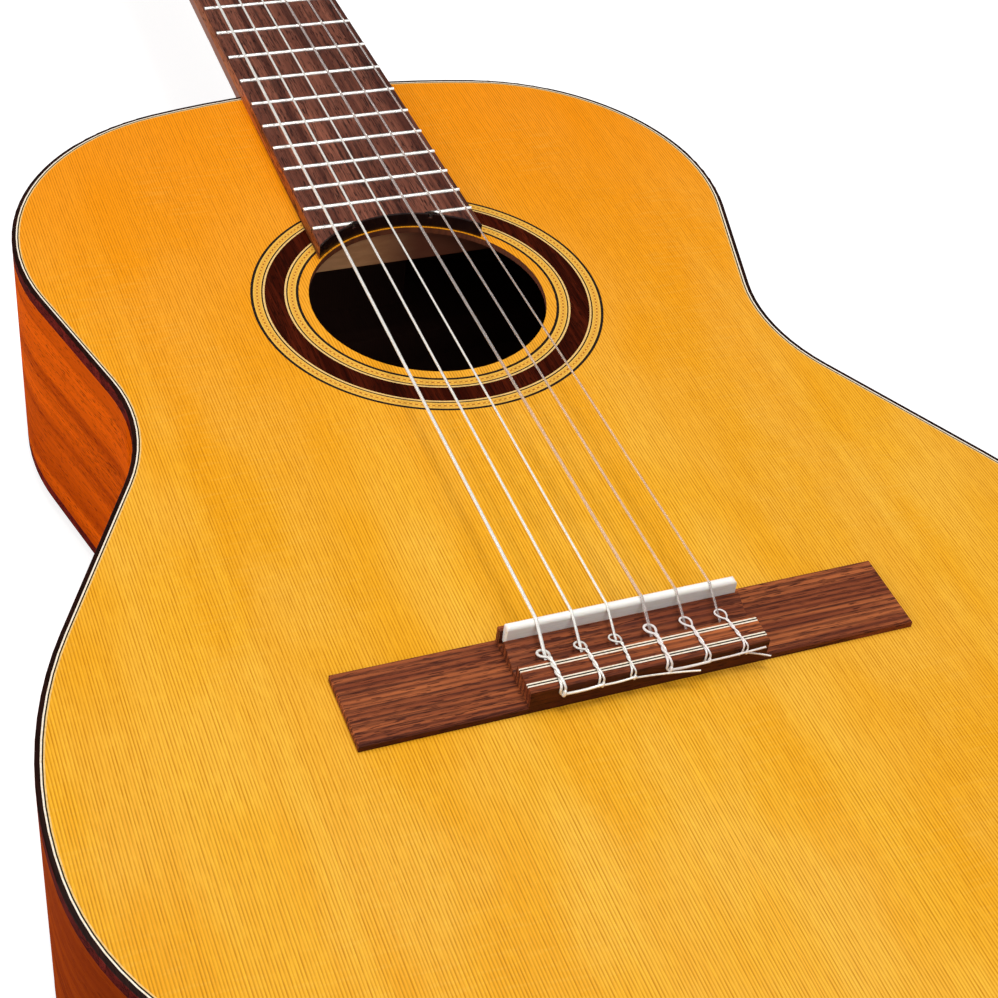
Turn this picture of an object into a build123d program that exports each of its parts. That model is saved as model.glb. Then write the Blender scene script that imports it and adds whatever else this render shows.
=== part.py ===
from build123d import *
import os
from math import asin, atan2, cos, degrees, pi, radians, sin, tan

# A six-string classical guitar in millimetres. The origin is the centre of the soundhole on the
# soundboard's outer face. +Y runs to the headstock, +Z out of the soundboard, +X to the treble side.

# ---- Scale and strings ----
SCALE_LENGTH = 650.0
SADDLE_LINE_Y = -174.6
NUT_Y = SADDLE_LINE_Y + SCALE_LENGTH
STRING_SPACING_SADDLE = 11.67
STRING_SPACING_NUT = 8.56
STRING_DIAMETERS = [1.12, 0.89, 0.76, 1.02, 0.82, 0.71]   # bass to treble
STRING_REST_GAP = 0.02
STRING_TAIL_PAST_BLOCK = 0.6
STRING_MOUTH_BEND = 2.5
STRING_NUT_BEND = 3.0

# ---- Sound box ----
NECK_END_Y = 150.4
BODY_DEPTH = 103.0
DOME_RADIUS = 4000.0
DOME_LOW_Y = -140.0
TOP_THICKNESS = 2.5
BACK_THICKNESS = 2.5
BINDING_WIDTH = 1.6
BINDING_HEIGHT = 5.0
BINDING_ROUNDING = 0.6
PURFLING_WIDTHS = [0.5, 0.45, 0.45]
INLAY_DEPTH = 1.2
LINING_WIDTH = 5.0
LINING_HEIGHT = 15.0
CENTRE_STRIP_WIDTH = 6.0
TAIL_STRIP_WIDTH = 10.0

# The right half of the outline from the neck end round to the tail. Each entry is a bend of a radius
# and a turn to the right in degrees; the waist turns left, and a straight has no turn.
NECK_END_BEND = (322.8, 12.58)
SHOULDER_BEND = (90.5, 92.68)
WAIST_ENTRY = (53.0, 0.0)
WAIST_BEND = (69.1, -44.17)
WAIST_EXIT = (67.6, 0.0)
LOWER_BOUT_BEND = (156.5, 33.42)
LOWER_CORNER_BEND = (98.5, 50.79)
HALF_OUTLINE = [NECK_END_BEND, SHOULDER_BEND, WAIST_ENTRY, WAIST_BEND, WAIST_EXIT, LOWER_BOUT_BEND,
                LOWER_CORNER_BEND]

# ---- Soundhole and rosette ----
SOUNDHOLE_RADIUS = 44.2
ROSETTE_INNER_RADIUS = 47.9
ROSETTE_RING_WIDTHS = [1.0, 3.0, 0.5, 0.7, 7.2, 0.7, 0.5, 3.0, 1.0]

# ---- Bracing ----
HARMONIC_BAR_OFFSET = 47.5
HARMONIC_BAR_WIDTH = 6.5
HARMONIC_BAR_HEIGHT = 16.0
FAN_BRACE_COUNT = 7
FAN_BRACE_WIDTH = 6.0
FAN_BRACE_HEIGHT = 4.5
FAN_TOP_Y = -60.0
FAN_BOTTOM_Y = -285.0
FAN_TOP_SPACING = 15.0
FAN_BOTTOM_SPACING = 31.0
BACK_BRACE_YS = [80.0, -75.0, -215.0]
BACK_BRACE_WIDTH = 7.0
BACK_BRACE_HEIGHT = 14.0
SEAM_STRIP_WIDTH = 16.0
SEAM_STRIP_HEIGHT = 2.0
NECK_BLOCK_WIDTH = 70.0
NECK_BLOCK_LENGTH = 36.0
TAIL_BLOCK_WIDTH = 64.0
TAIL_BLOCK_LENGTH = 18.0
TENON_WIDTH = 22.0
TENON_LENGTH = 14.0
TENON_OVERLAP = 4.0

# ---- Neck, fingerboard and frets ----
NUT_WIDTH = 52.0
BODY_JOINT_WIDTH = 61.6
FINGERBOARD_THICKNESS = 6.0
FINGERBOARD_END_RADIUS = 45.0
FINGERBOARD_BLANK_END_Y = 20.0
FINGERBOARD_CHAMFER = 0.4
FRET_COUNT = 19
FRET_WIDTH = 1.8
FRET_HEIGHT = 1.0
FRET_TANG_WIDTH = 0.6
FRET_TANG_DEPTH = 2.0
FRET_END_CLEARANCE = 0.2
NUT_THICKNESS = 5.0
NUT_HEIGHT = 8.8
NUT_STRING_Z = 7.8
NUT_CREST_LENGTH = 1.8
NUT_BACK_DROP = 2.0
NUT_BREAK = 1.2
NUT_SLOT_CLEARANCE = 0.05
NUT_SLOT_HEIGHT = 3.0
NECK_SIDE_HEIGHT = 3.0
NECK_DEPTH_AT_NUT = 15.0
NECK_DEPTH_AT_BODY = 17.5
HEEL_CAP_THICKNESS = 3.0
HEEL_OVERLAP = 5.0
SHAFT_OVERLAP = 4.0
VOLUTE_BEFORE_NUT = 22.0
VOLUTE_AFTER_NUT = 26.0
VOLUTE_START_INSET = 0.1
VOLUTE_START_RISE = 0.3
VOLUTE_END_INSET = 1.0
VOLUTE_END_RISE = 0.2
# Height, half-width and reach of the heel at each level, from under the fingerboard to the cap.
HEEL_LEVELS = [(-6.0, 28.0, 95.0), (-16.0, 26.5, 62.0), (-28.0, 24.0, 40.0), (-45.0, 20.5, 27.0),
               (-65.0, 17.0, 20.5), (-85.0, 14.8, 17.5), (-102.0, 14.0, 16.5)]

# ---- Bridge, measured along Y from the saddle line ----
BRIDGE_LENGTH = 184.0
BRIDGE_FRONT = 3.2
BRIDGE_REAR = -25.4
WING_HEIGHT = 2.6
WING_CHAMFER = 0.5
CENTRE_BLOCK_LENGTH = 79.0
FRONT_WALL_FACE = 2.4
FRONT_WALL_HEIGHT = 9.2
SADDLE_CENTRE = -1.5
SADDLE_THICKNESS = 3.0
SADDLE_LENGTH = 77.0
SADDLE_FOOT_Z = 4.0
SADDLE_TOP_Z = 13.2
CHANNEL_TOP_Z = 7.6
CHANNEL_FLOOR_Z = 4.2
CHANNEL_FLOOR_REAR = -14.0
CHANNEL_LIP_DROP = 0.8
CHANNEL_LIP_LENGTH = 1.6
CHANNEL_FOOT_LENGTH = 1.5
TIE_BLOCK_HEIGHT = 9.0
BRIDGE_EDGE_ROUNDING = 0.4
SADDLE_CORNER_ROUNDING = 1.6
TIE_HOLE_Z = 5.9
TIE_HOLE_RADIUS = 0.9
INLAY_LINE_WIDTHS = [0.5, 0.5, 0.5]
INLAY_LINE_FRONTS = [-15.4, -21.6]
INLAY_LINE_DEPTH = 0.5

# ---- Headstock, in its own frame: y along the head from the nut, z out of its face ----
HEAD_TILT = 15.0
HEAD_FACE_Z = 2.0
HEAD_THICKNESS = 20.0
VENEER_THICKNESS = 2.0
HEAD_BACK_ROUNDING = 1.5
VENEER_CHAMFER = 0.5
HEAD_HALF_WIDTH = 36.0
HEAD_BASE_HALF_WIDTH = 26.0
HEAD_BASE_Y = -8.0
HEAD_SHOULDER_Y = 24.0
HEAD_EAR_Y = 150.0
HEAD_SCOOP_START = (22.0, 172.0)
HEAD_SCOOP_END = (8.0, 184.0)
HEAD_LENGTH = 187.5
SLOT_INNER = 6.0
SLOT_OUTER = 22.5
SLOT_START = 22.0
SLOT_END = 138.0
SLOT_RAMP_LENGTH = 16.0
SLOT_RAMP_DEPTH = 9.0

# ---- Tuning machines ----
ROLLER_STATIONS = [45.0, 80.0, 115.0]
ROLLER_DEPTH = -10.0
ROLLER_RADIUS = 5.0
RUNNING_CLEARANCE = 0.06
CORE_RADIUS = 2.5
PIVOT_DEPTH = 3.0
END_PLAY = 0.4
PLATE_THICKNESS = 1.5
PLATE_START = 30.0
PLATE_END = 136.0
PLATE_HEIGHT = 15.0
PLATE_CORNER = 3.0
GEAR_TEETH = 14
GEAR_PITCH_RADIUS = 6.0
GEAR_THICKNESS = 3.2
WORM_PITCH_RADIUS = 3.0
WORM_OUTER_RADIUS = 3.55
WORM_ROOT_RADIUS = 2.1
WORM_LENGTH = 8.4
WORM_STANDOFF = 4.0
TOOTH_THICKNESS = 0.85
TOOTH_ADDENDUM = 0.7
TOOTH_DEDENDUM = 0.85
FLANK_ANGLE = 18.0
THREAD_TURNS = 2
THREAD_SINK = 0.2
WORM_PHASE = 90.0
WORM_SHAFT_RADIUS = 1.5
SHAFT_PROUD = 0.5
COLLAR_RADIUS = 2.6
COLLAR_LENGTH = 2.5
EAR_WIDTH = 5.6
EAR_THICKNESS = 1.5
EAR_GAP = 0.3
EAR_REACH = 3.2
EAR_CORNER = 2.0
BUTTON_GAP = 3.5
BUTTON_WIDTH = 15.0
BUTTON_DEPTH = 8.5
BUTTON_LENGTH = 17.0
BUTTON_SIDE_ROUNDING = 3.95
BUTTON_END_ROUNDING = 3.0
BUTTON_BORE_DEPTH = 6.0
LANDING_X = [14.5, 13.0, 11.5]
WRAP_CLEARANCE = 0.12
WRAP_TURN = 300.0
COIL_TURNS = [4, 4, 5, 4, 5, 5]
COIL_START_GAP = 1.9
COIL_TURN_GAP = 0.06
PLATE_SCREW_YS = [34.0, 68.0, 98.0, 132.0]
PLATE_SCREW_LIFT = 5.2
PLATE_SCREW_DEPTH = 7.0
PLATE_SCREW_RADIUS = 0.9
PLATE_SCREW_HEAD_RADIUS = 1.9
PLATE_SCREW_HEAD_HEIGHT = 1.1
PLATE_SCREW_HEAD_ROUNDING = 0.7
PLATE_SCREW_SLOT_WIDTH = 0.5
PLATE_SCREW_SLOT_DEPTH = 0.45
HUB_SCREW_RADIUS = 3.4
HUB_SCREW_HEIGHT = 1.3
HUB_SCREW_ROUNDING = 0.6
HUB_SCREW_SLOT_WIDTH = 0.8
HUB_SCREW_SLOT_DEPTH = 0.6

# ---- Sizes of the plain cutting blocks, which reach past everything ----
FAR = 400.0
BACK_CUT_Z = -40.0
BELOW = -BODY_DEPTH - 10.0


def half_outline_walk(bends, inset):
    """Edges of a run of bends from the neck end, moved inwards by inset, and the place where they end."""
    x = 0.0
    y = NECK_END_Y - inset
    heading = 0.0
    edges = []
    for size, turn in bends:
        if turn == 0.0:
            end = (x + size * cos(radians(heading)), y + size * sin(radians(heading)))
            edges.append(Line((x, y), end))
        else:
            radius = size - inset if turn > 0 else size + inset
            side = 1.0 if turn > 0 else -1.0
            outward = heading + 90.0 * side
            centre = (x - radius * cos(radians(outward)), y - radius * sin(radians(outward)))
            edges.append(CenterArc(centre, radius, outward, -turn))
            last = radians(outward - turn)
            end = (centre[0] + radius * cos(last), centre[1] + radius * sin(last))
            heading -= turn
        x, y = end
    return edges, x, y


TAIL_TURN = 180.0 - sum(turn for size, turn in HALF_OUTLINE)
TAIL_RADIUS = half_outline_walk(HALF_OUTLINE, 0.0)[1] / sin(radians(TAIL_TURN))
FULL_HALF = HALF_OUTLINE + [(TAIL_RADIUS, TAIL_TURN)]
TAIL_Y = half_outline_walk(FULL_HALF, 0.0)[2]


def slab(inset, low, high):
    """A flat slab of the body's outline, moved inwards by inset."""
    edges, x, y = half_outline_walk(FULL_HALF, inset)
    half = Curve() + edges
    face = make_face(half + mirror(half, about=Plane.YZ))
    return Pos(0, 0, low) * extrude(face, amount=high - low)


def rim(outer_inset, inner_inset, low, high):
    """A band that follows the body's outline."""
    return slab(outer_inset, low, high) - slab(inner_inset, low - 1, high + 1)


def ball(rise):
    """The sphere that the back is bent to, raised by rise."""
    return Pos(0, DOME_LOW_Y, DOME_RADIUS - BODY_DEPTH + rise) * Rot(0, -90, 0) * Sphere(DOME_RADIUS)


def block(x_low, x_high, y_low, y_high, z_low, z_high):
    """A plain block between two corners."""
    size = Box(x_high - x_low, y_high - y_low, z_high - z_low)
    return Pos((x_low + x_high) / 2, (y_low + y_high) / 2, (z_low + z_high) / 2) * size


def disc(radius, low, high):
    """A round slab about the soundhole's axis."""
    return Pos(0, 0, (low + high) / 2) * Cylinder(radius, high - low)


def rod(start, direction, radius, length):
    """A round bar from a point along a direction."""
    base = Plane(origin=start, z_dir=direction)
    return extrude(base * Circle(radius), amount=length)


def solids(shapes):
    """Separate solids gathered in one compound."""
    found = []
    for shape in shapes:
        found.extend(shape.solids())
    return Compound(children=found)


def save(name, shapes):
    """Write one node."""
    export_step(solids(shapes), "parts/" + name + ".step")


def below_back(shape, rise):
    """What is left of a shape above the back's sphere raised by rise."""
    return shape & ball(rise)


# ---- Sound box ----
def make_soundboard():
    """The top plate with its soundhole and the channels for rosette and purfling."""
    plate = slab(BINDING_WIDTH, -TOP_THICKNESS, 0)
    purfling_width = sum(PURFLING_WIDTHS)
    plate -= rim(BINDING_WIDTH, BINDING_WIDTH + purfling_width, -INLAY_DEPTH, 1)
    rosette_outer = ROSETTE_INNER_RADIUS + sum(ROSETTE_RING_WIDTHS)
    plate -= disc(rosette_outer, -INLAY_DEPTH, 1) - disc(ROSETTE_INNER_RADIUS, -INLAY_DEPTH - 1, 2)
    return plate - disc(SOUNDHOLE_RADIUS, -TOP_THICKNESS - 1, 1)


def make_back():
    """Two halves of the domed back, either side of the centre strip."""
    plate = below_back(slab(BINDING_WIDTH, BELOW, BACK_CUT_Z), 0) - ball(BACK_THICKNESS)
    return plate - block(-CENTRE_STRIP_WIDTH / 2, CENTRE_STRIP_WIDTH / 2, -FAR, FAR, BELOW, 0)


def make_centre_strip():
    """The strip between the halves of the back."""
    half = CENTRE_STRIP_WIDTH / 2
    strip = block(-half, half, -FAR, FAR, BELOW, BACK_CUT_Z) & slab(BINDING_WIDTH, BELOW, BACK_CUT_Z)
    return below_back(strip, 0) - ball(BACK_THICKNESS)


def rib_wall():
    """The whole wall of the sound box between the two bindings."""
    return below_back(rim(0, BINDING_WIDTH, BELOW, -BINDING_HEIGHT), BINDING_HEIGHT)


def make_sides():
    """Two bent ribs, parted by the neck's tenon and by the tail strip."""
    wall = rib_wall()
    wall -= block(-TENON_WIDTH / 2, TENON_WIDTH / 2, 0, FAR, BELOW, 0)
    return wall - block(-TAIL_STRIP_WIDTH / 2, TAIL_STRIP_WIDTH / 2, -FAR, DOME_LOW_Y, BELOW, 0)


def make_tail_strip():
    """The strip that closes the ribs at the tail."""
    return rib_wall() & block(-TAIL_STRIP_WIDTH / 2, TAIL_STRIP_WIDTH / 2, -FAR, DOME_LOW_Y, BELOW, 0)


def make_top_binding():
    """The binding round the soundboard, rounded along its outer corner."""
    body = slab(0, -BINDING_HEIGHT, 0)
    body = fillet(body.edges().group_by(Axis.Z)[-1], BINDING_ROUNDING)
    return body - slab(BINDING_WIDTH, -BINDING_HEIGHT - 1, 1)


def make_back_binding():
    """The binding round the back's edge, rounded along its outer corner."""
    body = below_back(slab(0, BELOW, BACK_CUT_Z), 0)
    body = fillet(body.faces().sort_by(Axis.Z)[0].edges(), BINDING_ROUNDING)
    return body - slab(BINDING_WIDTH, BELOW - 1, -39) - ball(BINDING_HEIGHT)


def make_purfling():
    """The lines let into the soundboard inside its binding."""
    lines = []
    inset = BINDING_WIDTH
    for width in PURFLING_WIDTHS:
        lines.append(rim(inset, inset + width, -INLAY_DEPTH, 0))
        inset += width
    return lines


def make_neck_block():
    """The block inside the neck end, with the mortise for the neck's tenon."""
    half = NECK_BLOCK_WIDTH / 2
    low_y = NECK_END_Y - BINDING_WIDTH - NECK_BLOCK_LENGTH
    body = block(-half, half, low_y, FAR, BELOW, -TOP_THICKNESS) & slab(BINDING_WIDTH, BELOW, 0)
    return below_back(body, BACK_THICKNESS) - make_tenon(0)


def make_tail_block():
    """The block inside the tail."""
    half = TAIL_BLOCK_WIDTH / 2
    high_y = TAIL_Y + BINDING_WIDTH + TAIL_BLOCK_LENGTH
    body = block(-half, half, -FAR, high_y, BELOW, -TOP_THICKNESS) & slab(BINDING_WIDTH, BELOW, 0)
    return below_back(body, BACK_THICKNESS)


def make_tenon(extra):
    """The neck's tenon between the ribs, carried outwards by extra, from binding to binding."""
    half = TENON_WIDTH / 2
    low_y = NECK_END_Y - BINDING_WIDTH - TENON_LENGTH
    body = block(-half, half, low_y, NECK_END_Y + extra, BELOW, -BINDING_HEIGHT)
    return below_back(body, BINDING_HEIGHT)


def make_linings():
    """Strips in the corners between ribs and plates, stopped at the end blocks."""
    inner = BINDING_WIDTH + LINING_WIDTH
    top = rim(BINDING_WIDTH, inner, -TOP_THICKNESS - LINING_HEIGHT, -TOP_THICKNESS)
    bottom = below_back(rim(BINDING_WIDTH, inner, BELOW, BACK_CUT_Z), BACK_THICKNESS)
    bottom -= ball(BACK_THICKNESS + LINING_HEIGHT)
    cut_neck = block(-NECK_BLOCK_WIDTH / 2, NECK_BLOCK_WIDTH / 2, 0, FAR, BELOW, 0)
    cut_tail = block(-TAIL_BLOCK_WIDTH / 2, TAIL_BLOCK_WIDTH / 2, -FAR, DOME_LOW_Y, BELOW, 0)
    return [top - cut_neck - cut_tail, bottom - cut_neck - cut_tail]


def make_harmonic_bars():
    """The two bars across the soundboard, above and below the soundhole."""
    inside = slab(BINDING_WIDTH + LINING_WIDTH, -TOP_THICKNESS - HARMONIC_BAR_HEIGHT, -TOP_THICKNESS)
    bars = []
    for side in (1, -1):
        near = side * HARMONIC_BAR_OFFSET
        far = side * (HARMONIC_BAR_OFFSET + HARMONIC_BAR_WIDTH)
        bars.append(block(-FAR, FAR, min(near, far), max(near, far), BACK_CUT_Z, 0) & inside)
    return bars


def make_fan_braces():
    """The struts that fan out under the bridge."""
    braces = []
    middle = (FAN_BRACE_COUNT - 1) / 2
    for index in range(FAN_BRACE_COUNT):
        place = index - middle
        top_x = place * FAN_TOP_SPACING
        bottom_x = place * FAN_BOTTOM_SPACING
        run = FAN_TOP_Y - FAN_BOTTOM_Y
        angle = degrees(atan2(top_x - bottom_x, run))
        length = run / cos(radians(angle))
        centre_z = -TOP_THICKNESS - FAN_BRACE_HEIGHT / 2
        spot = Pos((top_x + bottom_x) / 2, (FAN_TOP_Y + FAN_BOTTOM_Y) / 2, centre_z) * Rot(0, 0, -angle)
        braces.append(spot * Box(FAN_BRACE_WIDTH, length, FAN_BRACE_HEIGHT))
    return braces


def make_back_braces():
    """Three bars across the back, and the strips over its seam between them."""
    inside = slab(BINDING_WIDTH + LINING_WIDTH, BELOW, BACK_CUT_Z)
    bars = []
    for y in BACK_BRACE_YS:
        half = BACK_BRACE_WIDTH / 2
        bar = block(-FAR, FAR, y - half, y + half, BELOW, BACK_CUT_Z)
        bars.append(below_back(bar & inside, BACK_THICKNESS) - ball(BACK_THICKNESS + BACK_BRACE_HEIGHT))
    half = SEAM_STRIP_WIDTH / 2
    front = NECK_END_Y - BINDING_WIDTH - NECK_BLOCK_LENGTH
    rear = TAIL_Y + BINDING_WIDTH + TAIL_BLOCK_LENGTH
    stations = [front] + BACK_BRACE_YS + [rear]
    gap = BACK_BRACE_WIDTH / 2
    for index in range(len(stations) - 1):
        high_y = stations[index] - (gap if index > 0 else 0)
        low_y = stations[index + 1] + (gap if index < len(stations) - 2 else 0)
        strip = block(-half, half, low_y, high_y, BELOW, BACK_CUT_Z)
        bars.append(below_back(strip, BACK_THICKNESS) - ball(BACK_THICKNESS + SEAM_STRIP_HEIGHT))
    return bars


def make_rosette():
    """Nine rings let into the soundboard round the soundhole."""
    rings = []
    radius = ROSETTE_INNER_RADIUS
    for width in ROSETTE_RING_WIDTHS:
        rings.append(disc(radius + width, -INLAY_DEPTH, 0) - disc(radius, -INLAY_DEPTH - 1, 1))
        radius += width
    return rings


# ---- Neck ----
def neck_half_width(y):
    """Half the fingerboard's width at a place along the neck."""
    taper = (BODY_JOINT_WIDTH - NUT_WIDTH) / 2 / (NUT_Y - NECK_END_Y)
    return NUT_WIDTH / 2 + (NUT_Y - y) * taper


def neck_section(plane, half_width, depth):
    """A section of the shaft: flat on top, short upright sides and a half-elliptic back."""
    drop = -NECK_SIDE_HEIGHT
    bow = EllipticalCenterArc((0, drop), half_width, depth + drop, start_angle=180, arc_size=180)
    left = Line((-half_width, 0), (-half_width, drop))
    right = Line((half_width, drop), (half_width, 0))
    top = Line((half_width, 0), (-half_width, 0))
    return plane * make_face(Curve() + [left, bow, right, top])


def cross_plane(y):
    """An upright plane across the neck."""
    return Plane(origin=(0, y, 0), x_dir=(1, 0, 0), z_dir=(0, -1, 0))


HEAD_START_Y = NUT_Y + NUT_THICKNESS
HEAD_PLANE = Plane(origin=(0, HEAD_START_Y, HEAD_FACE_Z), x_dir=(1, 0, 0),
                   z_dir=(0, sin(radians(HEAD_TILT)), cos(radians(HEAD_TILT))))
HEAD_FRAME = HEAD_PLANE.location


def make_shaft():
    """The neck's shaft from the sound box to the head, swelling into the head at its end."""
    root_y = NECK_END_Y - SHAFT_OVERLAP
    root = neck_section(cross_plane(root_y), neck_half_width(root_y), NECK_DEPTH_AT_BODY)
    tip = neck_section(cross_plane(HEAD_START_Y), NUT_WIDTH / 2, NECK_DEPTH_AT_NUT)
    return loft([root, tip], ruled=True)


def make_volute():
    """The swell behind the nut, where the shaft runs into the head."""
    tilted = HEAD_PLANE.offset(-HEAD_FACE_Z)
    end_plane = Plane(origin=tilted.from_local_coords((0, VOLUTE_AFTER_NUT, 0)), x_dir=(1, 0, 0),
                      z_dir=(0, -cos(radians(HEAD_TILT)), sin(radians(HEAD_TILT))))
    start_y = NUT_Y - VOLUTE_BEFORE_NUT
    start_half_width = neck_half_width(start_y) - VOLUTE_START_INSET
    start_depth = NECK_DEPTH_AT_NUT - VOLUTE_START_RISE
    start = neck_section(cross_plane(start_y), start_half_width, start_depth)
    end_depth = HEAD_THICKNESS - HEAD_FACE_Z - VOLUTE_END_RISE
    end = neck_section(end_plane, HEAD_HALF_WIDTH - VOLUTE_END_INSET, end_depth)
    return loft([start, end])


def heel_body():
    """The heel, one half-ellipse on each level, before the sound box is cut away."""
    faces = []
    start_y = NECK_END_Y - HEEL_OVERLAP
    for height, half_width, reach in HEEL_LEVELS:
        depth = reach + HEEL_OVERLAP
        arc = EllipticalCenterArc((0, start_y), half_width, depth, start_angle=0, arc_size=180)
        chord = Line((-half_width, start_y), (half_width, start_y))
        faces.append(Pos(0, 0, height) * make_face(Curve() + [arc, chord]))
    return loft(faces)


def head_outline():
    """The head seen from the front, in its own frame."""
    base = HEAD_BASE_HALF_WIDTH
    wide = HEAD_HALF_WIDTH
    foot = Line((base, HEAD_BASE_Y), (base, 0))
    flare = Bezier((base, 0), (base + 0.5, 12), (wide, 10), (wide, HEAD_SHOULDER_Y))
    side = Line((wide, HEAD_SHOULDER_Y), (wide, HEAD_EAR_Y))
    ear = Bezier((wide, HEAD_EAR_Y), (wide, 166), (30, 170), HEAD_SCOOP_START)
    scoop = Bezier(HEAD_SCOOP_START, (16, 173.5), (14, 180), HEAD_SCOOP_END)
    half = Curve() + [foot, flare, side, ear, scoop]
    chord = Line((-base, HEAD_BASE_Y), (base, HEAD_BASE_Y))
    end_x, end_y = HEAD_SCOOP_END
    crown = ThreePointArc((end_x, end_y), (0, HEAD_LENGTH), (-end_x, end_y))
    return make_face(half + mirror(half, about=Plane.YZ) + [chord, crown])


def head_cuts():
    """The two string slots with the ramps at their ends, in the head's frame."""
    cuts = []
    width = SLOT_OUTER - SLOT_INNER
    length = SLOT_END - SLOT_START
    for side in (1, -1):
        middle_x = side * (SLOT_INNER + SLOT_OUTER) / 2
        slot = Pos(middle_x, (SLOT_START + SLOT_END) / 2, -HEAD_THICKNESS - 1) * extrude(
            SlotOverall(length, width, rotation=90), amount=HEAD_THICKNESS + 2)
        cuts.append(slot)
        for end, way in ((SLOT_START, 1), (SLOT_END, -1)):
            near = end + way * width / 2
            outer = near - way * SLOT_RAMP_LENGTH
            ramp = Polyline((outer, 0.5), (near, 0.5), (near, -SLOT_RAMP_DEPTH), (outer, 0.5))
            wedge = extrude(Plane.YZ * make_face(ramp), amount=width / 2, both=True)
            cuts.append(Pos(middle_x, 0, 0) * wedge)
    return cuts


def head_wood():
    """The head's wood with slots, roller holes and screw holes, in its own frame."""
    wood = Pos(0, 0, -HEAD_THICKNESS) * extrude(head_outline(), amount=HEAD_THICKNESS - VENEER_THICKNESS)
    wood = fillet(wood.edges().group_by(Axis.Z)[0], HEAD_BACK_ROUNDING)
    for cut in head_cuts():
        wood -= cut
    for y in ROLLER_STATIONS:
        for side in (1, -1):
            hole = ROLLER_RADIUS + RUNNING_CLEARANCE
            inner = (side * (SLOT_OUTER - 2), y, ROLLER_DEPTH)
            wood -= rod(inner, (side, 0, 0), hole, HEAD_HALF_WIDTH - SLOT_OUTER + 4)
            pivot = (side * (SLOT_INNER - PIVOT_DEPTH), y, ROLLER_DEPTH)
            wood -= rod(pivot, (side, 0, 0), CORE_RADIUS + RUNNING_CLEARANCE, PIVOT_DEPTH + 1)
    for screw in screw_shanks():
        wood -= screw
    return wood


def make_neck():
    """The neck: shaft, heel, tenon and slotted head in one piece of wood."""
    above_nut = block(-FAR, FAR, 0, HEAD_START_Y, 0, FAR)
    head = HEAD_FRAME * head_wood() - above_nut
    face_skin = HEAD_FRAME * block(-FAR, FAR, -HEAD_THICKNESS, SLOT_END, -VENEER_THICKNESS, FAR)
    swell = make_volute() - above_nut - face_skin
    for cut in head_cuts():
        swell -= HEAD_FRAME * cut
    sound_box = slab(0, BELOW, HEAD_THICKNESS)
    heel = below_back(heel_body() - sound_box, HEEL_CAP_THICKNESS)
    shaft = make_shaft() - sound_box - face_skin
    return shaft + heel + make_tenon(TENON_OVERLAP) + swell + head


def make_heel_cap():
    """The cap that carries the back's surface over the heel's foot."""
    cap = below_back(heel_body() - slab(0, BELOW, HEAD_THICKNESS), 0)
    return cap - ball(HEEL_CAP_THICKNESS)


def fret_y(number):
    """Distance of a fret along the neck."""
    return NUT_Y - SCALE_LENGTH * (1 - 2 ** (-number / 12))


def make_fingerboard():
    """The fingerboard with its fret slots and its end cut round the soundhole."""
    end_y = FINGERBOARD_BLANK_END_Y
    near = neck_half_width(NUT_Y)
    far = neck_half_width(end_y)
    outline = Polyline((-near, NUT_Y), (near, NUT_Y), (far, end_y), (-far, end_y), close=True)
    board = extrude(make_face(outline), amount=FINGERBOARD_THICKNESS)
    board -= disc(FINGERBOARD_END_RADIUS, -1, FINGERBOARD_THICKNESS + 1)
    board = max(board.solids(), key=lambda solid: solid.volume)
    board = chamfer(board.edges().group_by(Axis.Z)[-1], FINGERBOARD_CHAMFER)
    floor = FINGERBOARD_THICKNESS - FRET_TANG_DEPTH
    for number in range(1, FRET_COUNT + 1):
        y = fret_y(number)
        half_slot = FRET_TANG_WIDTH / 2
        board -= block(-NUT_WIDTH, NUT_WIDTH, y - half_slot, y + half_slot, floor, HEAD_THICKNESS)
    return max(board.solids(), key=lambda solid: solid.volume)


def make_frets():
    """Nineteen frets with their tangs; the last one is parted by the soundhole."""
    frets = []
    base = FINGERBOARD_THICKNESS
    floor = base - FRET_TANG_DEPTH
    half_tang = FRET_TANG_WIDTH / 2
    for number in range(1, FRET_COUNT + 1):
        y = fret_y(number)
        front = y + FRET_WIDTH / 2
        rear = y - FRET_WIDTH / 2
        crown = ThreePointArc((front, base), (y, base + FRET_HEIGHT), (rear, base))
        under = Polyline((rear, base), (y - half_tang, base), (y - half_tang, floor),
                         (y + half_tang, floor), (y + half_tang, base), (front, base))
        profile = Plane.YZ * make_face(Curve() + [crown, under])
        bar = extrude(profile, amount=neck_half_width(y) - FINGERBOARD_CHAMFER, both=True)
        frets.append(bar - disc(FINGERBOARD_END_RADIUS + FRET_END_CLEARANCE, 0, 2 * base))
    return frets


# ---- Strings ----
def string_x(index, spacing):
    """Place of a string across the neck."""
    return (index - 2.5) * spacing


def roller_index(index):
    """Which roller station a string goes to: the outer strings use the nearest."""
    return min(index, 5 - index)


def bridge_y(offset):
    """A distance from the saddle line as a place along Y."""
    return SADDLE_LINE_Y + offset


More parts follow.
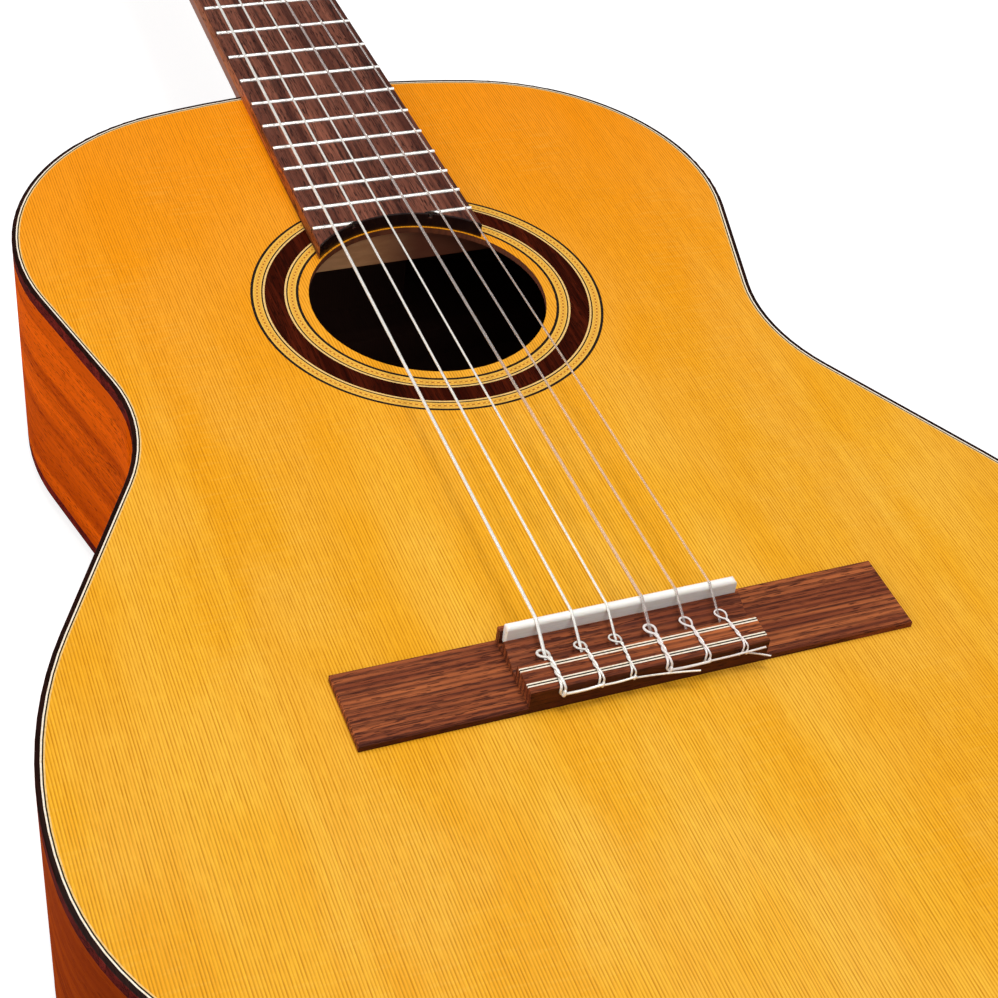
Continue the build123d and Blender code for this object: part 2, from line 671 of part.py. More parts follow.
def string_corners(index):
    """The corners of a string's run from the tie block over saddle and nut to its roller."""
    radius = STRING_DIAMETERS[index] / 2
    x_saddle = string_x(index, STRING_SPACING_SADDLE)
    x_nut = string_x(index, STRING_SPACING_NUT)
    side = -1 if index < 3 else 1
    mouth = Vector(x_saddle, bridge_y(CHANNEL_FLOOR_REAR + 1.0), TIE_HOLE_Z)
    tail = Vector(x_saddle, bridge_y(BRIDGE_REAR - STRING_TAIL_PAST_BLOCK), TIE_HOLE_Z)
    crown_y = bridge_y(SADDLE_CENTRE)
    crown_z = SADDLE_TOP_Z - SADDLE_THICKNESS / 2
    reach = SADDLE_THICKNESS / 2 + radius + STRING_REST_GAP
    rise = atan2(crown_z + reach - mouth.Z, crown_y - mouth.Y)
    lean = rise / 2
    over = reach / cos(lean)
    saddle = Vector(x_saddle, crown_y - over * sin(lean), crown_z + over * cos(lean))
    nut = Vector(x_nut, NUT_Y + NUT_BREAK, NUT_STRING_Z + radius)
    station = roller_index(index)
    axis = HEAD_PLANE.from_local_coords((0, ROLLER_STATIONS[station], ROLLER_DEPTH))
    wrap_radius = ROLLER_RADIUS + radius + WRAP_CLEARANCE
    span = ((axis.Y - nut.Y) ** 2 + (axis.Z - nut.Z) ** 2) ** 0.5
    slope = atan2(axis.Z - nut.Z, axis.Y - nut.Y) + asin(wrap_radius / span)
    outward = Vector(0, -sin(slope), cos(slope))
    landing = Vector(side * LANDING_X[station], axis.Y, axis.Z) + outward * wrap_radius
    return tail, mouth, saddle, nut, landing, outward, wrap_radius


def string_path(index):
    """The middle line of a string and the arc that it makes round its roller."""
    tail, mouth, saddle, nut, landing, outward, wrap_radius = string_corners(index)
    reach = SADDLE_THICKNESS / 2 + STRING_DIAMETERS[index] / 2 + STRING_REST_GAP
    radii = [STRING_MOUTH_BEND, reach, STRING_NUT_BEND]
    run = FilletPolyline([tail, mouth, saddle, nut, landing], radius=radii)
    along = (landing - nut).normalized()
    hub = landing - outward * wrap_radius
    turn_plane = Plane(origin=hub, x_dir=outward, z_dir=outward.cross(along))
    wrap = turn_plane * CenterArc((0, 0), wrap_radius, 0, WRAP_TURN)
    return Wire(list(run.edges()) + list(wrap.edges()))


def sweep_round(path, radius):
    """A round section swept along a path."""
    start = Plane(origin=path @ 0, z_dir=path % 0)
    return sweep(start * Circle(radius), path=path)


def make_string(index):
    """One string as a tube along its path."""
    return sweep_round(string_path(index), STRING_DIAMETERS[index] / 2)


def make_coil(index):
    """The turns of a string that lie on its roller, beside the turn that comes off it."""
    diameter = STRING_DIAMETERS[index]
    side = -1 if index < 3 else 1
    station = roller_index(index)
    start_x = LANDING_X[station] + COIL_START_GAP + diameter / 2
    pitch = diameter + COIL_TURN_GAP
    radius = ROLLER_RADIUS + diameter / 2 + STRING_REST_GAP
    centre = (side * start_x, ROLLER_STATIONS[station], ROLLER_DEPTH)
    turns = Helix(pitch=pitch, height=pitch * COIL_TURNS[index], radius=radius, center=centre,
                  direction=(side, 0, 0))
    start = Plane(origin=turns @ 0, z_dir=turns % 0)
    return HEAD_FRAME * sweep(start * Circle(diameter / 2), path=turns, is_frenet=True)


# ---- Nut, bridge and saddle ----
def make_nut():
    """The nut with a slot for each string."""
    back_top = NUT_HEIGHT - NUT_BACK_DROP
    profile = Polyline((NUT_Y, 0), (HEAD_START_Y, 0), (HEAD_START_Y, back_top),
                       (NUT_Y + NUT_CREST_LENGTH, NUT_HEIGHT), (NUT_Y, NUT_HEIGHT), close=True)
    nut = extrude(Plane.YZ * make_face(profile), amount=NUT_WIDTH / 2, both=True)
    for index in range(len(STRING_DIAMETERS)):
        tail, mouth, saddle, string_nut, landing, outward, wrap_radius = string_corners(index)
        radius = STRING_DIAMETERS[index] / 2 + NUT_SLOT_CLEARANCE
        path = FilletPolyline([saddle, string_nut, landing], radius=STRING_NUT_BEND)
        nut -= sweep_round(Wire(list(path.edges())), radius)
        for end in (saddle, landing):
            way = (end - string_nut).normalized()
            lift = Plane(origin=string_nut, x_dir=(1, 0, 0), z_dir=way)
            rise = NUT_SLOT_HEIGHT / 2 if way.Y < 0 else -NUT_SLOT_HEIGHT / 2
            opening = lift * Pos(0, rise) * Rectangle(2 * radius, NUT_SLOT_HEIGHT)
            nut -= extrude(opening, amount=2 * NUT_THICKNESS)
    return max(nut.solids(), key=lambda solid: solid.volume)


def bridge_profile():
    """The bridge's middle seen from its end: front wall, saddle slot, channel and tie block."""
    slot_front = SADDLE_CENTRE + SADDLE_THICKNESS / 2
    slot_rear = SADDLE_CENTRE - SADDLE_THICKNESS / 2
    lip_z = FRONT_WALL_HEIGHT - CHANNEL_LIP_DROP
    points = [(FRONT_WALL_FACE, 0), (FRONT_WALL_FACE, FRONT_WALL_HEIGHT),
              (slot_front, FRONT_WALL_HEIGHT), (slot_front, SADDLE_FOOT_Z),
              (slot_rear, SADDLE_FOOT_Z), (slot_rear, lip_z),
              (slot_rear - CHANNEL_LIP_LENGTH, CHANNEL_TOP_Z),
              (CHANNEL_FLOOR_REAR + CHANNEL_FOOT_LENGTH, CHANNEL_FLOOR_Z),
              (CHANNEL_FLOOR_REAR, CHANNEL_FLOOR_Z), (CHANNEL_FLOOR_REAR, TIE_BLOCK_HEIGHT),
              (BRIDGE_REAR, TIE_BLOCK_HEIGHT), (BRIDGE_REAR, 0)]
    return Polyline([(bridge_y(offset), height) for offset, height in points], close=True)


def make_bridge():
    """The bridge: thin wings, raised middle, saddle slot, sloping channel and drilled tie block."""
    half = BRIDGE_LENGTH / 2
    wings = block(-half, half, bridge_y(BRIDGE_REAR), bridge_y(BRIDGE_FRONT), 0, WING_HEIGHT)
    wings = chamfer(wings.edges().group_by(Axis.Z)[-1], WING_CHAMFER)
    middle = extrude(Plane.YZ * make_face(bridge_profile()), amount=CENTRE_BLOCK_LENGTH / 2, both=True)
    upper_edges = [edge for edge in middle.edges().filter_by(Axis.X) if edge.center().Z > CHANNEL_TOP_Z]
    middle = fillet(upper_edges, BRIDGE_EDGE_ROUNDING)
    bridge = wings + middle
    for index in range(len(STRING_DIAMETERS)):
        x = string_x(index, STRING_SPACING_SADDLE)
        start = (x, bridge_y(BRIDGE_REAR) - 1, TIE_HOLE_Z)
        bridge -= rod(start, (0, 1, 0), TIE_HOLE_RADIUS, CHANNEL_FLOOR_REAR - BRIDGE_REAR + 2)
    for line in inlay_lines():
        bridge -= line
    return bridge


def inlay_lines():
    """The thin lines let into the top of the tie block along its two long edges."""
    lines = []
    for front in INLAY_LINE_FRONTS:
        edge = front
        for width in INLAY_LINE_WIDTHS:
            line = block(-CENTRE_BLOCK_LENGTH / 2, CENTRE_BLOCK_LENGTH / 2, bridge_y(edge - width),
                         bridge_y(edge), TIE_BLOCK_HEIGHT - INLAY_LINE_DEPTH, TIE_BLOCK_HEIGHT)
            lines.append(line)
            edge -= width
    return lines


def make_saddle():
    """The bone saddle with its rounded crown."""
    centre_y = bridge_y(SADDLE_CENTRE)
    half = SADDLE_THICKNESS / 2
    crown = ThreePointArc((centre_y + half, SADDLE_TOP_Z - half), (centre_y, SADDLE_TOP_Z),
                          (centre_y - half, SADDLE_TOP_Z - half))
    sides = Polyline((centre_y - half, SADDLE_TOP_Z - half), (centre_y - half, SADDLE_FOOT_Z),
                     (centre_y + half, SADDLE_FOOT_Z), (centre_y + half, SADDLE_TOP_Z - half))
    saddle = extrude(Plane.YZ * make_face(Curve() + [crown, sides]), amount=SADDLE_LENGTH / 2, both=True)
    height = SADDLE_TOP_Z - SADDLE_FOOT_Z
    front = Plane.XZ * Pos(0, SADDLE_FOOT_Z + height / 2)
    outline = front * RectangleRounded(SADDLE_LENGTH, height, SADDLE_CORNER_ROUNDING)
    return saddle & extrude(outline, amount=400, both=True)


# ---- Head veneer and tuning machines, in the head's frame ----
def make_veneer():
    """The thin veneer on the head's face, butted against the nut."""
    veneer = Pos(0, 0, -VENEER_THICKNESS) * extrude(head_outline(), amount=VENEER_THICKNESS)
    veneer = chamfer(veneer.edges().group_by(Axis.Z)[-1], VENEER_CHAMFER)
    for cut in head_cuts():
        veneer -= cut
    above_nut = block(-FAR, FAR, 0, HEAD_START_Y, -FAR, FAR)
    return HEAD_FRAME * veneer - above_nut


GEAR_X = HEAD_HALF_WIDTH + PLATE_THICKNESS + WORM_STANDOFF
WORM_OFFSET = GEAR_PITCH_RADIUS + WORM_PITCH_RADIUS
WORM_LEAD = 2 * pi * GEAR_PITCH_RADIUS / GEAR_TEETH
FLANK_SLOPE = tan(radians(FLANK_ANGLE))


def screw_shanks():
    """The plate screws' shanks in the head's wood."""
    shanks = []
    for side in (1, -1):
        for y in PLATE_SCREW_YS:
            start = (side * (HEAD_HALF_WIDTH - PLATE_SCREW_DEPTH), y, ROLLER_DEPTH + PLATE_SCREW_LIFT)
            length = PLATE_SCREW_DEPTH + PLATE_THICKNESS
            shanks.append(rod(start, (side, 0, 0), PLATE_SCREW_RADIUS, length))
    return shanks


def make_screws():
    """Eight plate screws with domed slotted heads."""
    screws = []
    for shank in screw_shanks():
        middle = shank.center()
        side = 1 if middle.X > 0 else -1
        seat = side * (HEAD_HALF_WIDTH + PLATE_THICKNESS)
        start = (seat, middle.Y, middle.Z)
        head = rod(start, (side, 0, 0), PLATE_SCREW_HEAD_RADIUS, PLATE_SCREW_HEAD_HEIGHT)
        outer = head.faces().sort_by(Axis.X)[-1 if side > 0 else 0]
        head = fillet(outer.edges(), PLATE_SCREW_HEAD_ROUNDING)
        tool = Box(2 * PLATE_SCREW_SLOT_DEPTH, 3 * PLATE_SCREW_HEAD_RADIUS, PLATE_SCREW_SLOT_WIDTH)
        slot = Pos(seat + side * PLATE_SCREW_HEAD_HEIGHT, middle.Y, middle.Z) * tool
        screws.append(HEAD_FRAME * (shank + head - slot))
    return screws


def make_plate(side):
    """One side plate with its roller holes and a pair of ears for each worm."""
    low_x = min(side * HEAD_HALF_WIDTH, side * (HEAD_HALF_WIDTH + PLATE_THICKNESS))
    half_height = PLATE_HEIGHT / 2
    plate = block(low_x, low_x + PLATE_THICKNESS, PLATE_START, PLATE_END,
                  ROLLER_DEPTH - half_height, ROLLER_DEPTH + half_height)
    ends = plate.edges().filter_by(Axis.X)
    plate = fillet(ends, PLATE_CORNER)
    for y in ROLLER_STATIONS:
        worm_y = y + WORM_OFFSET
        for way in (1, -1):
            near = ROLLER_DEPTH + way * (WORM_LENGTH / 2 + EAR_GAP)
            ear_low = min(near, near + way * EAR_THICKNESS)
            ear_xs = sorted([side * HEAD_HALF_WIDTH, side * (GEAR_X + EAR_REACH)])
            ear = block(ear_xs[0], ear_xs[1], worm_y - EAR_WIDTH / 2, worm_y + EAR_WIDTH / 2,
                        ear_low, ear_low + EAR_THICKNESS)
            tip = ear.edges().filter_by(Axis.Z).sort_by(Axis.X)
            plate += fillet(tip[-2:] if side > 0 else tip[:2], EAR_CORNER)
        start = (side * GEAR_X, worm_y, ROLLER_DEPTH - PLATE_HEIGHT)
        plate -= rod(start, (0, 0, 1), WORM_SHAFT_RADIUS + RUNNING_CLEARANCE, 2 * PLATE_HEIGHT)
        hub = (side * (HEAD_HALF_WIDTH - 1), y, ROLLER_DEPTH)
        plate -= rod(hub, (side, 0, 0), CORE_RADIUS + RUNNING_CLEARANCE, PLATE_THICKNESS + 2)
    for shank in screw_shanks():
        plate -= shank
    return HEAD_FRAME * plate


def gear_blank():
    """The toothed wheel about its own axis, which is X, with one tooth towards +Y."""
    step = 360.0 / GEAR_TEETH
    points = []
    tip = GEAR_PITCH_RADIUS + TOOTH_ADDENDUM
    root = GEAR_PITCH_RADIUS - TOOTH_DEDENDUM
    half_tip = TOOTH_THICKNESS / 2 - TOOTH_ADDENDUM * FLANK_SLOPE
    half_root = TOOTH_THICKNESS / 2 + TOOTH_DEDENDUM * FLANK_SLOPE
    for tooth in range(GEAR_TEETH):
        middle = radians(tooth * step)
        for radius, half in ((root, -half_root), (tip, -half_tip), (tip, half_tip), (root, half_root)):
            along = radius * cos(middle) - half * sin(middle)
            across = radius * sin(middle) + half * cos(middle)
            points.append((along, across))
    outline = make_face(Polyline(points, close=True))
    wheel = extrude(Plane.YZ * outline, amount=GEAR_THICKNESS / 2, both=True)
    return wheel - rod((-GEAR_THICKNESS, 0, 0), (1, 0, 0), CORE_RADIUS, 2 * GEAR_THICKNESS)


def make_gear(side, y):
    """The gear, the steel core that it drives and the screw that holds them together."""
    core_x = SLOT_INNER - PIVOT_DEPTH + END_PLAY
    core_length = GEAR_X + GEAR_THICKNESS / 2 - core_x
    core = rod((side * core_x, y, ROLLER_DEPTH), (side, 0, 0), CORE_RADIUS, core_length)
    wheel = Pos(side * GEAR_X, y, ROLLER_DEPTH) * gear_blank()
    seat = side * (GEAR_X + GEAR_THICKNESS / 2)
    screw = rod((seat, y, ROLLER_DEPTH), (side, 0, 0), HUB_SCREW_RADIUS, HUB_SCREW_HEIGHT)
    outer = screw.faces().sort_by(Axis.X)[-1 if side > 0 else 0]
    screw = fillet(outer.edges(), HUB_SCREW_ROUNDING)
    tool = Box(2 * HUB_SCREW_SLOT_DEPTH, FAR, HUB_SCREW_SLOT_WIDTH)
    screw -= Pos(seat + side * HUB_SCREW_HEIGHT, y, ROLLER_DEPTH) * tool
    return [HEAD_FRAME * core, HEAD_FRAME * wheel, HEAD_FRAME * screw]


def make_roller(side, y):
    """The plastic sleeve that the string winds on."""
    start = (side * (SLOT_INNER + END_PLAY), y, ROLLER_DEPTH)
    length = HEAD_HALF_WIDTH - SLOT_INNER - 2 * END_PLAY
    sleeve = rod(start, (side, 0, 0), ROLLER_RADIUS, length)
    return HEAD_FRAME * (sleeve - rod(start, (side, 0, 0), CORE_RADIUS, length))


def worm_thread():
    """The worm's thread and shaft about the Z axis, with a gap of the thread facing -Y at mid-height."""
    foot = WORM_ROOT_RADIUS - THREAD_SINK
    half_crest = TOOTH_THICKNESS / 2 - (WORM_OUTER_RADIUS - WORM_PITCH_RADIUS) * FLANK_SLOPE
    half_foot = TOOTH_THICKNESS / 2 + (WORM_PITCH_RADIUS - foot) * FLANK_SLOPE
    height = WORM_LEAD * THREAD_TURNS
    line = Helix(pitch=WORM_LEAD, height=height, radius=foot)
    profile = Polyline((foot, -half_foot), (WORM_OUTER_RADIUS, -half_crest),
                       (WORM_OUTER_RADIUS, half_crest), (foot, half_foot), close=True)
    thread = sweep(Plane.XZ * make_face(profile), path=line, is_frenet=True)
    core = Pos(0, 0, height / 2) * Cylinder(WORM_ROOT_RADIUS, WORM_LENGTH)
    return Pos(0, 0, -height / 2) * (thread + core)


def make_worm(side, y):
    """A worm with its shaft, which carries the button behind the head."""
    axis_x = side * GEAR_X
    axis_y = y + WORM_OFFSET
    top = ROLLER_DEPTH + WORM_LENGTH / 2 + EAR_GAP + EAR_THICKNESS + SHAFT_PROUD
    button_top = -HEAD_THICKNESS - BUTTON_GAP
    bottom = button_top - BUTTON_BORE_DEPTH
    shaft = rod((axis_x, axis_y, bottom), (0, 0, 1), WORM_SHAFT_RADIUS, top - bottom)
    collar = rod((axis_x, axis_y, button_top), (0, 0, 1), COLLAR_RADIUS, COLLAR_LENGTH)
    thread = Pos(axis_x, axis_y, ROLLER_DEPTH) * Rot(0, 0, WORM_PHASE) * worm_thread()
    return HEAD_FRAME * (thread + shaft + collar)


def make_button(side, y):
    """A rounded button on the worm's shaft."""
    top = -HEAD_THICKNESS - BUTTON_GAP
    axis_x = side * GEAR_X
    axis_y = y + WORM_OFFSET
    body = Box(BUTTON_WIDTH, BUTTON_DEPTH, BUTTON_LENGTH)
    body = fillet(body.edges().filter_by(Axis.Z), BUTTON_SIDE_ROUNDING)
    levels = body.edges().group_by(Axis.Z)
    body = fillet(levels[0] + levels[-1], BUTTON_END_ROUNDING)
    body = Pos(axis_x, axis_y, top - BUTTON_LENGTH / 2) * body
    start = (axis_x, axis_y, top - BUTTON_BORE_DEPTH)
    return HEAD_FRAME * (body - rod(start, (0, 0, 1), WORM_SHAFT_RADIUS, BUTTON_LENGTH))


def main():
    """Make every node and write it."""
    os.makedirs("parts", exist_ok=True)
    save("soundboard", [make_soundboard()])
    save("back", [make_back()])
    save("centre_and_tail_strips", [make_centre_strip(), make_tail_strip()])
    save("sides", [make_sides()])
    save("top_binding", [make_top_binding()])
    save("back_binding", [make_back_binding()])
    save("purfling", make_purfling())
    save("linings", make_linings())
    save("end_blocks", [make_neck_block(), make_tail_block()])
    save("harmonic_bars", make_harmonic_bars())
    save("fan_braces", make_fan_braces())
    save("back_braces", make_back_braces())
    save("rosette", make_rosette())
    save("neck", [make_neck()])
    save("heel_cap", [make_heel_cap()])
    save("fingerboard", [make_fingerboard()])
    save("frets", make_frets())
    save("nut", [make_nut()])
    save("bridge", [make_bridge()])
    save("saddle", [make_saddle()])
    save("tie_block_inlays", inlay_lines())
    save("head_veneer", [make_veneer()])
    save("tuner_plates", [make_plate(1), make_plate(-1)])
    save("tuner_screws", make_screws())
    for index in range(len(STRING_DIAMETERS)):
        number = str(6 - index)
        side = -1 if index < 3 else 1
        y = ROLLER_STATIONS[roller_index(index)]
        save("string_" + number, [make_string(index)])
        save("coil_" + number, [make_coil(index)])
        save("gear_" + number, make_gear(side, y))
        save("roller_" + number, [make_roller(side, y)])
        save("worm_" + number, [make_worm(side, y)])
        save("button_" + number, [make_button(side, y)])


main()
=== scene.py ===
"""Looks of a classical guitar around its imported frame.

The guitar lies on its back on a pale studio floor. The frame gives every wooden, bone and metal part its
shape and place. This script dresses those parts in wood, bone, metal and plastic, ties the strings to
the bridge, and sets the studio light and the camera. Lengths are in metres, +Y runs to the head, +Z out
of the soundboard and +X to the treble side, and the origin is the soundhole's centre.
"""

import logging
import math
from dataclasses import dataclass
from enum import Enum
from functools import cache
from typing import Callable, Optional, Union

import bpy
from mathutils import Matrix, Vector
from mathutils.bvhtree import BVHTree


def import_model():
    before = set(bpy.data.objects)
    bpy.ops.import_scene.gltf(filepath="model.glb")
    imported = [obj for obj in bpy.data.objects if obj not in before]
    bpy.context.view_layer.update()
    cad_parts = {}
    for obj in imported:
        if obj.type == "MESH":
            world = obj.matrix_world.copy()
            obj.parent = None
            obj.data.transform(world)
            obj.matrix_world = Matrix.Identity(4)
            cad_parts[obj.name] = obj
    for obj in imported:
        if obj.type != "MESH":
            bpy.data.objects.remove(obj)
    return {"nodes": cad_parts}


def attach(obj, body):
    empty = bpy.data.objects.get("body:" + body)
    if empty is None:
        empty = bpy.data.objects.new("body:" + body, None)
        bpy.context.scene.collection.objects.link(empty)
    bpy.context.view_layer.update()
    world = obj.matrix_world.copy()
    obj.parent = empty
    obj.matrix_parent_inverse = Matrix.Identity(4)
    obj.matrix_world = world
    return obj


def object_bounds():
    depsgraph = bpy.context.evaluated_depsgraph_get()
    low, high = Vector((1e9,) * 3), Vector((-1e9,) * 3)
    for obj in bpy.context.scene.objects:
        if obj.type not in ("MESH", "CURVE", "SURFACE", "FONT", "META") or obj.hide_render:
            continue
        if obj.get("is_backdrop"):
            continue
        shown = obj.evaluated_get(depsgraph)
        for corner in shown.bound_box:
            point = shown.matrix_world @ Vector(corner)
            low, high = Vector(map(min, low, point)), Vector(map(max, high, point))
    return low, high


LOG = logging.getLogger("classical_guitar")
MM = 0.001
BEND_SQUEEZE = 0.1  # how little the figure of a bent rib changes through its thickness
Colour = tuple[float, float, float]
Socket = bpy.types.NodeSocket
Sockets = bpy.types.bpy_prop_collection
Face = bpy.types.MeshPolygon
Tree = bpy.types.NodeTree
Value = Union[float, tuple[float, ...], Socket]
Tint = Union[Colour, Socket]
Ends = dict[str, Socket]
Group = Callable[[], Tree]


class Direction(Enum):
    """Which way a wood's grain runs, as the order of (across, along, through) axes."""

    LENGTHWISE = ("X", "Y", "Z")
    CROSSWISE = ("Y", "X", "Z")
    ROUND_THE_RIBS = ("Z", "X", "Y")


# Shader building blocks


class Graph:
    """Short ways to add and join shader nodes in one tree."""

    def __init__(self, tree: Tree) -> None:
        """Keep the tree.

        Args:
            tree: A material's or a group's node tree.
        """
        self.tree = tree

    def add(self, kind: str, **settings: object) -> bpy.types.Node:
        """Add a node.

        Args:
            kind: The node's type without its "ShaderNode" start.
            settings: Attributes to set on it.

        Returns:
            The new node.
        """
        node = self.tree.nodes.new("ShaderNode" + kind)
        for name, value in settings.items():
            setattr(node, name, value)
        return node

    def feed(self, socket: Socket, value: Value) -> None:
        """Join a socket to another one, or set its own number.

        Args:
            socket: The socket that is fed.
            value: A socket, a number or a colour.
        """
        if isinstance(value, bpy.types.NodeSocket):
            self.tree.links.new(value, socket)
        else:
            socket.default_value = value

    def calc(self, operation: str, first: Value, second: Value = 0.0, third: Value = 0.0) -> Socket:
        """Add a Math node.

        Args:
            operation: The node's operation.
            first: A number or a socket.
            second: A number or a socket.
            third: A number or a socket, for operations that take three.

        Returns:
            The result's socket.
        """
        node = self.add("Math", operation=operation)
        for socket, value in zip(node.inputs, (first, second, third)):
            self.feed(socket, value)
        return node.outputs[0]

    def times(self, first: Value, second: Value) -> Socket:
        """Multiply two numbers."""
        return self.calc("MULTIPLY", first, second)

    def split(self, vector: Optional[Socket] = None) -> Sockets:
        """Take a vector apart.

        Args:
            vector: The vector, or nothing for the place.

        Returns:
            Its X, Y and Z.
        """
        node = self.add("SeparateXYZ")
        self.feed(node.inputs[0], vector or self.place())
        return node.outputs

    def span(self, value: Value, low: float, high: float, new_low: float = 0.0,
             new_high: float = 1.0) -> Socket:
        """Map a stretch of a value smoothly onto another stretch.

        Args:
            value: What is mapped.
            low: Where the old stretch starts.
            high: Where the old stretch ends.
            new_low: What low becomes.
            new_high: What high becomes.

        Returns:
            The mapped value's socket.
        """
        node = self.add("MapRange", interpolation_type="SMOOTHSTEP")
        for name, number in zip(("Value", "From Min", "From Max", "To Min", "To Max"),
                                (value, low, high, new_low, new_high)):
            self.feed(node.inputs[name], number)
        return node.outputs["Result"]

    def blend(self, factor: Value, first: Tint, second: Tint) -> Socket:
        """Mix two colours.

        Args:
            factor: How much of the second shows.
            first: A colour or a socket.
            second: A colour or a socket.

        Returns:
            The mixed colour's socket.
        """
        node = self.add("Mix", data_type="RGBA")
        self.feed(node.inputs[0], factor)
        for socket, value in ((node.inputs[6], first), (node.inputs[7], second)):
            self.feed(socket, value if isinstance(value, bpy.types.NodeSocket) else (*value, 1.0))
        return node.outputs[2]

    def noise(self, vector: Socket, stretch: tuple[float, float, float], detail: float = 2.0,
              distortion: float = 0.0) -> Socket:
        """Noise that is stretched along the axes.

        Args:
            vector: The place, in metres.
            stretch: How many features a metre holds along each axis.
            detail: The noise's octaves.
            distortion: How much the noise is bent.

        Returns:
            The noise's value, about 0.2 to 0.8.
        """
        scaled = self.add("VectorMath", operation="MULTIPLY")
        self.feed(scaled.inputs[0], vector)
        scaled.inputs[1].default_value = stretch
        node = self.add("TexNoise")
        node.inputs["Scale"].default_value = 1.0
        node.inputs["Detail"].default_value = detail
        node.inputs["Distortion"].default_value = distortion
        self.feed(node.inputs["Vector"], scaled.outputs[0])
        return node.outputs["Fac"]

    def line_noise(self, value: Socket, scale: float, detail: float = 1.0) -> Socket:
        """Noise along one number.

        Args:
            value: The place along the line, in metres.
            scale: How many features a metre holds.
            detail: The noise's octaves.

        Returns:
            The noise's value, about 0.2 to 0.8.
        """
        node = self.add("TexNoise", noise_dimensions="1D")
        node.inputs["Scale"].default_value = scale
        node.inputs["Detail"].default_value = detail
        self.feed(node.inputs["W"], value)
        return node.outputs["Fac"]

    def place(self) -> Socket:
        """The place on the guitar in metres, which moves with each part."""
        return self.add("TexCoord").outputs["Object"]

    def oriented(self, direction: Direction, mirrored: bool = False) -> Socket:
        """The place, turned so that X is across the grain and Y along it.

        Args:
            direction: Which way the grain runs.
            mirrored: Whether both sides of the centre line match like an opened book.

        Returns:
            The turned place's socket.
        """
        split = self.split()
        axes = [split[axis] for axis in direction.value]
        if mirrored:
            axes[0] = self.calc("ABSOLUTE", axes[0])
        if direction is Direction.ROUND_THE_RIBS:
            axes[2] = self.times(axes[2], BEND_SQUEEZE)
        joined = self.add("CombineXYZ")
        for socket, axis in zip(joined.inputs, axes):
            self.feed(socket, axis)
        return joined.outputs[0]

    def use(self, group: Group, **values: Value) -> Sockets:
        """Place a node group.

        Args:
            group: Gives the group's tree.
            values: The group's inputs.

        Returns:
            The group's outputs.
        """
        node = self.add("Group", node_tree=group())
        for name, value in values.items():
            self.feed(node.inputs[name], value)
        return node.outputs

    def surface(self, shader: Sockets, colour: Socket, roughness: Socket,
                normal: Optional[Socket] = None) -> None:
        """Join a shader's colour, roughness and normal.

        Args:
            shader: The shader's inputs.
            colour: The base colour.
            roughness: The roughness.
            normal: The bent normal, if there is one.
        """
        self.feed(shader["Base Color"], colour)
        self.feed(shader["Roughness"], roughness)
        if normal:
            self.feed(shader["Normal"], normal)

    def bump(self, height: Socket, distance: float, strength: float = 1.0) -> Socket:
        """A normal bent by a height.

        Args:
            height: The height, where 1 stands for distance.
            distance: Depth in metres.
            strength: How much of it shows.

        Returns:
            The normal's socket.
        """
        node = self.add("Bump")
        node.inputs["Distance"].default_value = distance
        node.inputs["Strength"].default_value = strength
        self.feed(node.inputs["Height"], height)
        return node.outputs["Normal"]


def effect(*outputs: str, **inputs: float) -> Callable[[Callable[[Graph, Ends, Ends], None]], Group]:
    """Make a shared node group out of the function that joins its nodes.

    Args:
        outputs: The outputs' names, each a number.
        inputs: The inputs beside Place, each a number with its usual value.

    Returns:
        What turns the function into one that gives the group, built once.
    """

    def wrap(fill: Callable[[Graph, Ends, Ends], None]) -> Group:
        """Keep one group for the function.

        Args:
            fill: Joins the group's inputs to its outputs.

        Returns:
            What gives the group.
        """

        @cache
        def group() -> Tree:
            """Build the group.

            Returns:
                The group's tree.
            """
            tree = bpy.data.node_groups.new(fill.__name__, "ShaderNodeTree")
            tree.interface.new_socket(name="Place", in_out="INPUT", socket_type="NodeSocketVector")
            for label, usual in inputs.items():
                number = tree.interface.new_socket(name=label, in_out="INPUT", socket_type="NodeSocketFloat")
                number.default_value = usual
            for label in outputs:
                tree.interface.new_socket(name=label, in_out="OUTPUT", socket_type="NodeSocketFloat")
            start = tree.nodes.new("NodeGroupInput")
            end = tree.nodes.new("NodeGroupOutput")
            fill(Graph(tree), {s.name: s for s in start.outputs if s.name},
                 {s.name: s for s in end.inputs if s.name})
            return tree

        return group

    return wrap


